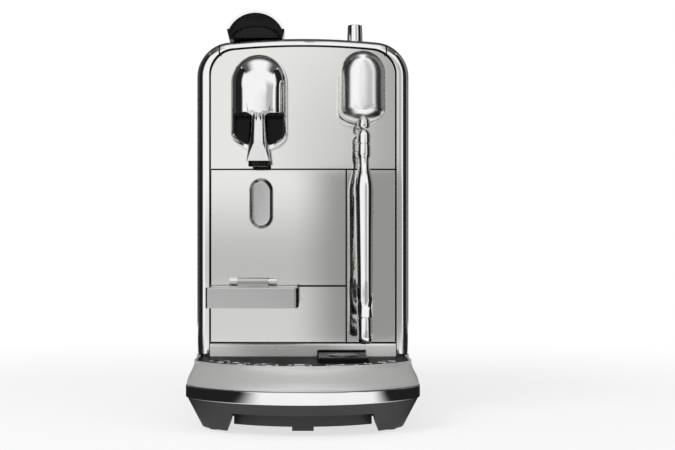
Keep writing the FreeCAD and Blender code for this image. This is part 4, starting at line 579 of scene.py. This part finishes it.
wand = {"pivot": (0.0455, -0.101, 0.2132), "lean": 8.0,
        "collar": [(0.0, 0.0066), (0.0040, 0.0066), (0.0046, 0.0072), (0.0048, 0.0080), (0.0048, 0.0102),
                   (0.0044, 0.0108), (0.0044, 0.0135), (0.0, 0.0135)],
        "knuckle": [(0.0, 0.0060), (0.0026, 0.0055), (0.0039, 0.0046), (0.0047, 0.0035), (0.0051, 0.0023),
                    (0.0052, 0.0012), (0.0052, -0.0054), (0.0047, -0.0057), (0.0047, -0.0061),
                    (0.0052, -0.0064), (0.0052, -0.0128), (0.0049, -0.0144), (0.0043, -0.0158),
                    (0.0040, -0.0176), (0.0040, -0.0205), (0.0, -0.0205)],
        "grip": [(0.0, -0.0205), (0.0040, -0.0205), (0.0042, -0.0222), (0.0047, -0.0248), (0.0055, -0.0280),
                 (0.0063, -0.0312), (0.0069, -0.0345), (0.0072, -0.0380), (0.0072, -0.0420),
                 (0.0071, -0.0445), (0.0, -0.0445)],
        "tube": [(0.0, -0.0445), (0.0071, -0.0445), (0.0068, -0.060), (0.0064, -0.080), (0.0060, -0.105),
                 (0.0056, -0.1352), (0.0053, -0.1358), (0.0, -0.1358)],
        "tip": [(0.0, -0.1358), (0.0050, -0.1358), (0.0050, -0.1366), (0.0054, -0.1368), (0.0055, -0.1372),
                (0.0053, -0.1500), (0.0050, -0.1524), (0.0043, -0.1540), (0.0030, -0.1549), (0.0, -0.1550)]}


def makeWand():
    collar = turned(wand["collar"])
    collar.location = wand["pivot"]
    seatPiece(collar, "wandCollar", "machine", "bright_chrome", "wand_clevis", "wand_pin", angle=30)
    for part in ("knuckle", "grip", "tube", "tip"):
        piece = turned(wand[part])
        piece.location = wand["pivot"]
        piece.rotation_euler = (math.radians(-wand["lean"]), 0, 0)
        seatPiece(piece, "wand" + part.capitalize(), "steam_arm", "bright_chrome", "wand_" + part, angle=30)


# finger recess of the drawer's door: a brushed dish with sloped walls

dish = {"x": -0.032, "half": 0.0091, "low": 0.1452, "high": 0.1838, "back": -0.0680, "front": -0.0731,
        "rim": 0.0003, "slope": 0.0026, "deep": 0.0021, "soften": 0.0008, "softSteps": 5}


def makeDish():
    x, half, low, front = dish["x"], dish["half"], dish["low"], dish["front"]
    tall = (dish["high"] - low) / 2
    bottom = front + dish["deep"]
    piece = stadiumBlock(half, low, dish["high"], x, dish["back"], front)
    beginEdit(piece)
    pickLevel(piece, "FACE", "y", front)
    bpy.ops.mesh.inset(thickness=dish["rim"])
    pushOut((0, dish["deep"], 0))
    drawn = (1 - dish["slope"] / half, 1, 1 - dish["slope"] / tall)
    bpy.ops.transform.resize(value=drawn, center_override=(x, bottom, low + tall))
    pickLevel(piece, "EDGE", "y", bottom)
    bpy.ops.mesh.bevel(offset=dish["soften"], segments=dish["softSteps"], affect="EDGES")
    endEdit()
    # painted shade: the dish takes the darker cup steel so that its recess reads shaded
    seatPiece(piece, "fingerDish", "capsule_drawer", "cup_steel")


# lever: the black bulge below its bowl, cut flat just above the top cover

bulge = {"x": -0.0360, "half": 0.0202, "low": 0.2723, "high": 0.3127, "back": -0.0600, "front": -0.0698,
         "edge": 0.0068, "square": 2.0, "foot": 1.0, "tallCrown": 1.0,
         "z": 0.2925, "tall": 0.0100, "cut": 0.2923}


def makeBulge():
    x, z = bulge["x"], bulge["z"]
    piece = crownedBlock(bulge)
    beginEdit(piece)
    pickAll()
    flattened = (1, 1, bulge["tall"] / bulge["half"])
    bpy.ops.transform.resize(value=flattened, center_override=(x, bulge["front"], z))
    bpy.ops.mesh.bisect(plane_co=(x, 0, bulge["cut"]), plane_no=(0, 0, -1), use_fill=True, clear_outer=True)
    outwards()
    endEdit()
    seatPiece(piece, "leverBulge", "lever", "black_gloss")


# dark strip in each seam between the top cover and a side panel

seam = {"x": 0.064, "thick": 0.0010, "front": -0.0773, "back": 0.1080, "low": 0.2785, "high": 0.2869,
        "round": 0.0081, "roundSteps": 8}


def makeSeams():
    half, front, high = seam["thick"] / 2, seam["front"], seam["high"]
    for side, word in ((-1, "left"), (1, "right")):
        x = side * seam["x"]
        strip = boxFrom((x - half, x + half), (front, seam["back"]), (seam["low"], high))
        beginEdit(strip)
        pick(strip, "EDGE", lambda co: co.z > high - touch and co.y < front + touch)
        bpy.ops.mesh.bevel(offset=seam["round"], segments=seam["roundSteps"], affect="EDGES")
        endEdit()
        seatPiece(strip, word + "Seam", "machine", "sensor_black")


# polished eyelets in the tray's drain holes, set on a circle about the tray's front arc

drain = {"middle": -0.103, "low": 0.0462, "top": 0.0476, "slack": 0.0002, "lip": 0.0012, "thick": 0.0006,
         "rise": 0.0009, "boreRise": 0.00045, "boreRound": 0.0005, "rimRise": 0.00036, "rimRound": 0.0006,
         "points": 32}
eyelets = {"gridEyelet": {"body": "grid", "angles": (-62, -42, -22, -2), "circle": 0.0685,
                          "long": 0.016, "wide": 0.012},
           "deckEyelet": {"body": "drip_tray", "angles": (20, 35, 58), "circle": 0.0715,
                          "long": 0.016, "wide": 0.008}}


def eyeletProfile(wide):
    low, top = drain["low"], drain["top"]
    crest = top + drain["rise"]
    wall = wide / 2 - drain["slack"]
    bore, rim = wall - drain["thick"], wall + drain["lip"]
    return [(bore, low), (bore, top + drain["boreRise"]), (bore + drain["boreRound"], crest),
            (rim - drain["rimRound"], crest), (rim, top + drain["rimRise"]), (rim, top), (wall, top),
            (wall, low), (bore, low)]


def ovalEyelet(wide, long):
    ring = turned(eyeletProfile(wide), drain["points"])
    beginEdit(ring)
    for end in (-1, 1):
        pick(ring, "VERT", lambda co: co.x * end > touch)
        bpy.ops.transform.translate(value=(end * (long - wide) / 2, 0, 0))
    endEdit()
    return ring


def makeEyelets():
    # one eyelet for each row, copied round the circle
    for word, row in eyelets.items():
        first = ovalEyelet(row["wide"], row["long"])
        for count, degrees in enumerate(row["angles"], 1):
            onlyPick(first)
            bpy.ops.object.duplicate()
            ring = bpy.context.object
            turn = math.radians(degrees)
            ring.rotation_euler = (0, 0, turn)
            x, y = row["circle"] * math.sin(turn), drain["middle"] - row["circle"] * math.cos(turn)
            ring.location = (x, y, 0)
            seatPiece(ring, word + str(count), row["body"], "bright_chrome")
        bpy.data.objects.remove(first)


# painted shade: dark strips in the gaps round the door and the panels, standing for the shadow in those gaps,
# bowed like the panels

gapShade = {"crown": -0.0732, "bow": 1.1, "proud": 0.00015, "deep": 0.0016, "steps": 14}
strips = {"upperGapShade": (-0.0710, 0.0710, 0.1902, 0.1913, "machine"),  # left, right, low, high, body
          "doorGapShade": (-0.0710, 0.0329, 0.1004, 0.1014, "machine"),
          "footGapShade": (-0.0710, 0.0710, 0.0572, 0.0581, "machine"),
          "splitGapShade": (0.0328, 0.0339, 0.0581, 0.1902, "machine"),
          "rightGapShade": (0.0708, 0.0718, 0.0581, 0.2633, "machine"),
          "leftLowGapShade": (-0.0718, -0.0708, 0.0581, 0.1004, "machine"),
          "leftDoorGapShade": (-0.0715, -0.0705, 0.1020, 0.1899, "capsule_drawer"),
          "leftHighGapShade": (-0.0718, -0.0708, 0.1913, 0.2633, "machine")}
arch = {"half": 0.0718, "top": 0.2857, "corner": 0.0200, "crown": 0.5743, "thick": 0.0010, "cornerSteps": 12,
        "crownSteps": 8}


def gapShadeFront(x):
    return gapShade["crown"] + x * x / (2 * gapShade["bow"]) - gapShade["proud"]


def makeStrips():
    for name, (left, right, low, high, body) in strips.items():
        clearPick()
        start = (left, gapShadeFront(left) + gapShade["deep"] / 2, (low + high) / 2)
        bpy.ops.mesh.primitive_plane_add(size=1, location=start, rotation=(0, math.pi / 2, 0))
        piece = bpy.context.object
        piece.scale = (high - low, gapShade["deep"], 1)
        bakePlace()
        beginEdit(piece)
        pickAll()
        x = left
        for step in range(1, gapShade["steps"] + 1):
            nextX = left + (right - left) * step / gapShade["steps"]
            pushOut((nextX - x, gapShadeFront(nextX) - gapShadeFront(x), 0))
            x = nextX
        outwards()
        endEdit()
        seatPiece(piece, name, body, "sensor_black")


def archPath():
    # the frame's opening from one shoulder to the other, as x and z
    corner, crown = arch["corner"], arch["crown"]
    cornerX, middle = arch["half"] - corner, arch["top"] - crown
    rise = math.sqrt((crown - corner) ** 2 - cornerX ** 2)
    meet = math.atan2(rise, cornerX)
    path = []
    for step in range(arch["cornerSteps"]):
        angle = meet * step / arch["cornerSteps"]
        path.append((cornerX + corner * math.cos(angle), middle + rise + corner * math.sin(angle)))
    for step in range(arch["crownSteps"]):
        angle = meet + (math.pi / 2 - meet) * step / arch["crownSteps"]
        path.append((crown * math.cos(angle), middle + crown * math.sin(angle)))
    return path + [(0, arch["top"])] + [(-x, z) for x, z in reversed(path)]


# painted shade: the same dark strip along the frame's opening, standing for the shadow in that gap
def makeArch():
    path = [(x, gapShadeFront(x), z) for x, z in archPath()]
    piece = traced(path)
    shoulder = path[0][2]
    pushOut((0, 0, 0))
    drawn = (1 - arch["thick"] / arch["half"], 1, 1 - arch["thick"] / (arch["top"] - shoulder))
    bpy.ops.transform.resize(value=drawn, center_override=(0, 0, shoulder))
    pickAll()
    pushOut((0, gapShade["deep"], 0))
    outwards()
    endEdit()
    seatPiece(piece, "archGapShade", "machine", "sensor_black")


# painted shade: a thin black plate on the fold-up support's right end, standing for the shade on that end

endShade = {"left": -0.0042, "right": -0.0030, "front": -0.1350, "back": -0.0800, "low": 0.0872, "high": 0.1010,
       "round": 0.0005, "roundSteps": 4}


def makeEndShade():
    piece = boxFrom((endShade["left"], endShade["right"]), (endShade["front"], endShade["back"]), (endShade["low"], endShade["high"]))
    beginEdit(piece)
    pickAll()
    bpy.ops.mesh.bevel(offset=endShade["round"], segments=endShade["roundSteps"], affect="EDGES")
    endEdit()
    seatPiece(piece, "supportEndShade", "cup_platform", "sensor_black")


makeHood()
makeLining()
makeNozzle()
makeInsert()
print("outlet modelled")
makePill()
makeWand()
print("steam head and wand modelled")
makeDish()
makeBulge()
makeSeams()
makeEyelets()
makeStrips()
makeArch()
makeEndShade()
# the dark gap strips and the support's dark end plate in this message are painted shade
print("finger dish, lever bulge, seams, eyelets, gapShades and support cap modelled")


# studio: floor, cards, light and camera

def clearTree(name):
    mat = bpy.data.materials.new(name)
    mat.use_nodes = True
    mat.node_tree.nodes.clear()
    return mat, mat.node_tree


def mixedOut(tree, base, over, share=None):
    # two shaders to the material's output, the second by its share or else alone
    mix = addNode(tree, "ShaderNodeMixShader", Fac=1.0)
    out = addNode(tree, "ShaderNodeOutputMaterial")
    tree.links.new(base.outputs["BSDF"], mix.inputs[1])
    tree.links.new(over.outputs["Emission"], mix.inputs[2])
    if share:
        tree.links.new(share, mix.inputs["Fac"])
    tree.links.new(mix.outputs["Shader"], out.inputs["Surface"])


def fadeOn(axis, start, end, fold=False):
    # clear at start, full at end, along the card's own -0.5 to 0.5; fold makes both halves alike
    return {"axis": axis, "span": (start, end), "fold": fold}


def glowing(name, level, fades):
    # one tone, turning clear along the fades
    mat, tree = clearTree(name)
    shown = None
    for fade in fades:
        place = along(tree, fade["axis"])
        if fade["fold"]:
            folded = addNode(tree, "ShaderNodeMath", operation="ABSOLUTE")
            tree.links.new(place, folded.inputs[0])
            place = folded.outputs[0]
        value = ranged(tree, place, fade["span"], (0, 1), "SMOOTHSTEP")
        shown = combined(tree, "MULTIPLY", shown, value) if shown else value
    glow = addNode(tree, "ShaderNodeEmission", Strength=level)
    mixedOut(tree, addNode(tree, "ShaderNodeBsdfTransparent"), glow, shown)
    return mat


def addCard(name, size, place, facing, level, fades=(), spin=0):
    # a card that only polished metal sees, spin turns it about its own normal
    clearPick()
    turn = Vector(facing).to_track_quat("Z", "Y") @ Quaternion((0, 0, 1), math.radians(spin))
    bpy.ops.mesh.primitive_plane_add(size=1, location=place, rotation=turn.to_euler())
    card = bpy.context.object
    card.name = name
    card.scale = (*size, 1)
    card.data.materials.append(glowing(name + "Tone", level, fades))
    card.visible_camera = False
    card.visible_diffuse = False
    card.visible_transmission = False
    card.visible_shadow = False


# dark cards on both sides: upright ones on a circle round the machine, azimuth from the camera's side,
# and a runner on the floor out to the first of them
sideCircle = 1.3
sideCards = {"Flag": {"azimuth": 69, "width": 1.16, "high": 1.7, "left": 0.015, "right": 0.015,
                      "fade": (0.5, 0.26)},
             "Dusk": {"azimuth": 110, "width": 0.80, "high": 1.7, "left": 0.05, "right": 0.20},
             "Back": {"azimuth": 150, "width": 1.05, "high": 1.3, "left": 0.10, "right": 0.10}}
runner = {"size": (1.5, 0.75), "x": 0.941, "y": -0.132, "z": 0.0015, "level": 0.015, "fade": (0.5, 0.27),
          "spin": 82}
lying, upright, hanging = (0, 0, 1), (0, 1, 0), (0, 0, -1)
cards = {
    "leftFloor": {"size": (0.6, 0.8), "place": (-0.360, -0.146, 0.002), "facing": lying, "level": 0.015,
                  "fades": [fadeOn("X", -0.5, -0.28)], "spin": -35},
    "rightFloor": {"size": (0.5, 0.6), "place": (0.296, -0.030, 0.002), "facing": lying, "level": 0.015,
                   "fades": [fadeOn("X", 0.5, 0.3)], "spin": 63},
    "lowGrey": {"size": (0.79, 0.237), "place": (0.355, -0.9, 0.1185), "facing": upright, "level": 0.36,
                "fades": [fadeOn("X", 0.5, 0.316)]},
    "doorShade": {"size": (0.8, 0.1565), "place": (-0.1, -0.905, 0.1588), "facing": upright, "level": 0.62,
                  "fades": [fadeOn("Y", 0.5, -0.32)]},
    "lowLight": {"size": (0.8, 0.0805), "place": (-0.1, -0.91, 0.0403), "facing": upright, "level": 0.78},
    "highGrey": {"size": (0.68, 0.5), "place": (0.41, -0.9, 0.487), "facing": upright, "level": 0.50,
                 "fades": [fadeOn("X", 0.5, 0.25, fold=True), fadeOn("Y", 0.5, 0.0)]},
    "midGrey": {"size": (0.6, 0.3), "place": (0.15, -0.93, 0.387), "facing": upright, "level": 0.75,
                "fades": [fadeOn("X", 0.5, 0.083), fadeOn("Y", 0.377, -0.457)]},
    "ceilingSides": {"size": (2.6, 2.4), "place": (0, -0.4, 1.72), "facing": hanging, "level": 0.10,
                     "fades": [fadeOn("X", 0.12, 0.36, fold=True), fadeOn("Y", -0.5, -0.3)]},
    "ceilingBack": {"size": (2.6, 1.4), "place": (0, 0.1, 1.74), "facing": hanging, "level": 0.10,
                    "fades": [fadeOn("Y", -0.32, 0.11)]},
    "rearTop": {"size": (2.6, 1.6), "place": (0, 0.95, 1.25), "facing": (0, -0.75, -1), "level": 0.06},
}


def sideFade(side, card):
    return [fadeOn("X", *(side * edge for edge in card["fade"]))] if "fade" in card else []


def addCards():
    for side, word in ((-1, "left"), (1, "right")):
        for kind, card in sideCards.items():
            angle = math.radians(side * card["azimuth"])
            x, y = sideCircle * math.sin(angle), -sideCircle * math.cos(angle)
            size, place = (card["width"], card["high"]), (x, y, card["high"] / 2)
            addCard(word + kind, size, place, (-x, -y, 0), card[word], sideFade(side, card))
        addCard(word + "Runner", runner["size"], (side * runner["x"], runner["y"], runner["z"]), lying,
                runner["level"], sideFade(side, runner), side * runner["spin"])
    for name, card in cards.items():
        addCard(name, **card)


def pureRays(tree):
    # camera, mirror and glass rays see the white studio
    path = addNode(tree, "ShaderNodeLightPath")
    seen = combined(tree, "MAXIMUM", path.outputs["Is Camera Ray"], path.outputs["Is Glossy Ray"])
    return combined(tree, "MAXIMUM", seen, path.outputs["Is Transmission Ray"])


floorCard = {"size": 6.0, "tone": 0.93, "lift": 0.7, "nearScale": 1.2, "nearSpan": (0.0, 0.6)}


def studioFloor():
    # white far off, and near the machine partly plain paint, so that the shadow shows
    clearPick()
    bpy.ops.mesh.primitive_plane_add(size=floorCard["size"], location=(0, 0, 0))
    floor = bpy.context.object
    floor.name = "studioFloor"
    mat, tree = clearTree("paleFloor")
    near = addNode(tree, "ShaderNodeTexGradient", gradient_type="SPHERICAL")
    tree.links.new(objectSpace(tree, [floorCard["nearScale"]] * 3), near.inputs["Vector"])
    reach = ranged(tree, near.outputs["Fac"], floorCard["nearSpan"], (1.0, floorCard["lift"]))
    paint = addNode(tree, "ShaderNodeBsdfDiffuse", Color=(*[floorCard["tone"]] * 3, 1))
    glow = addNode(tree, "ShaderNodeEmission", Strength=1.0, Color=(1, 1, 1, 1))
    mixedOut(tree, paint, glow, combined(tree, "MULTIPLY", pureRays(tree), reach))
    floor.data.materials.append(mat)


light = {"ambient": 0.55, "aim": (0, 0, 0.15),
         "keyBox": {"size": (1.2, 1.2), "place": (-1.3, -1.5, 1.7), "watts": 26},
         "fillBox": {"size": (1.4, 1.0), "place": (1.5, -1.2, 1.3), "watts": 9}}


def studioWorld():
    world = bpy.data.worlds.new("whiteStudio")
    bpy.context.scene.world = world
    world.use_nodes = True
    tree = world.node_tree
    back = tree.nodes["Background"]
    back.inputs["Color"].default_value = (1, 1, 1, 1)
    strength = ranged(tree, pureRays(tree), (0, 1), (light["ambient"], 1.0))
    tree.links.new(strength, back.inputs["Strength"])


def softBox(name):
    box = light[name]
    lamp = bpy.data.lights.new(name, "AREA")
    lamp.shape = "RECTANGLE"
    lamp.size, lamp.size_y = box["size"]
    lamp.energy = box["watts"]
    holder = bpy.data.objects.new(name, lamp)
    bpy.context.scene.collection.objects.link(holder)
    holder.location = box["place"]
    aim = Vector(light["aim"]) - Vector(box["place"])
    holder.rotation_euler = aim.to_track_quat("-Z", "Y").to_euler()
    holder.visible_glossy = False


shot = {"place": (0, -1.144, 0.1287), "lens": 74.35, "sensor": 36, "pixels": 675, "shiftPixels": (34.6, 25)}


def addCamera():
    eye = bpy.data.cameras.new("photoEye")
    eye.sensor_width = shot["sensor"]
    eye.lens = shot["lens"]
    eye.shift_x, eye.shift_y = [pixels / shot["pixels"] for pixels in shot["shiftPixels"]]
    holder = bpy.data.objects.new("photoEye", eye)
    bpy.context.scene.collection.objects.link(holder)
    holder.location = shot["place"]
    holder.rotation_euler = (math.pi / 2, 0, 0)
    bpy.context.scene.camera = holder


studioWorld()
studioFloor()
softBox("keyBox")
softBox("fillBox")
addCards()
addCamera()
bpy.context.scene.view_settings.view_transform = "Standard"
print("studio set")
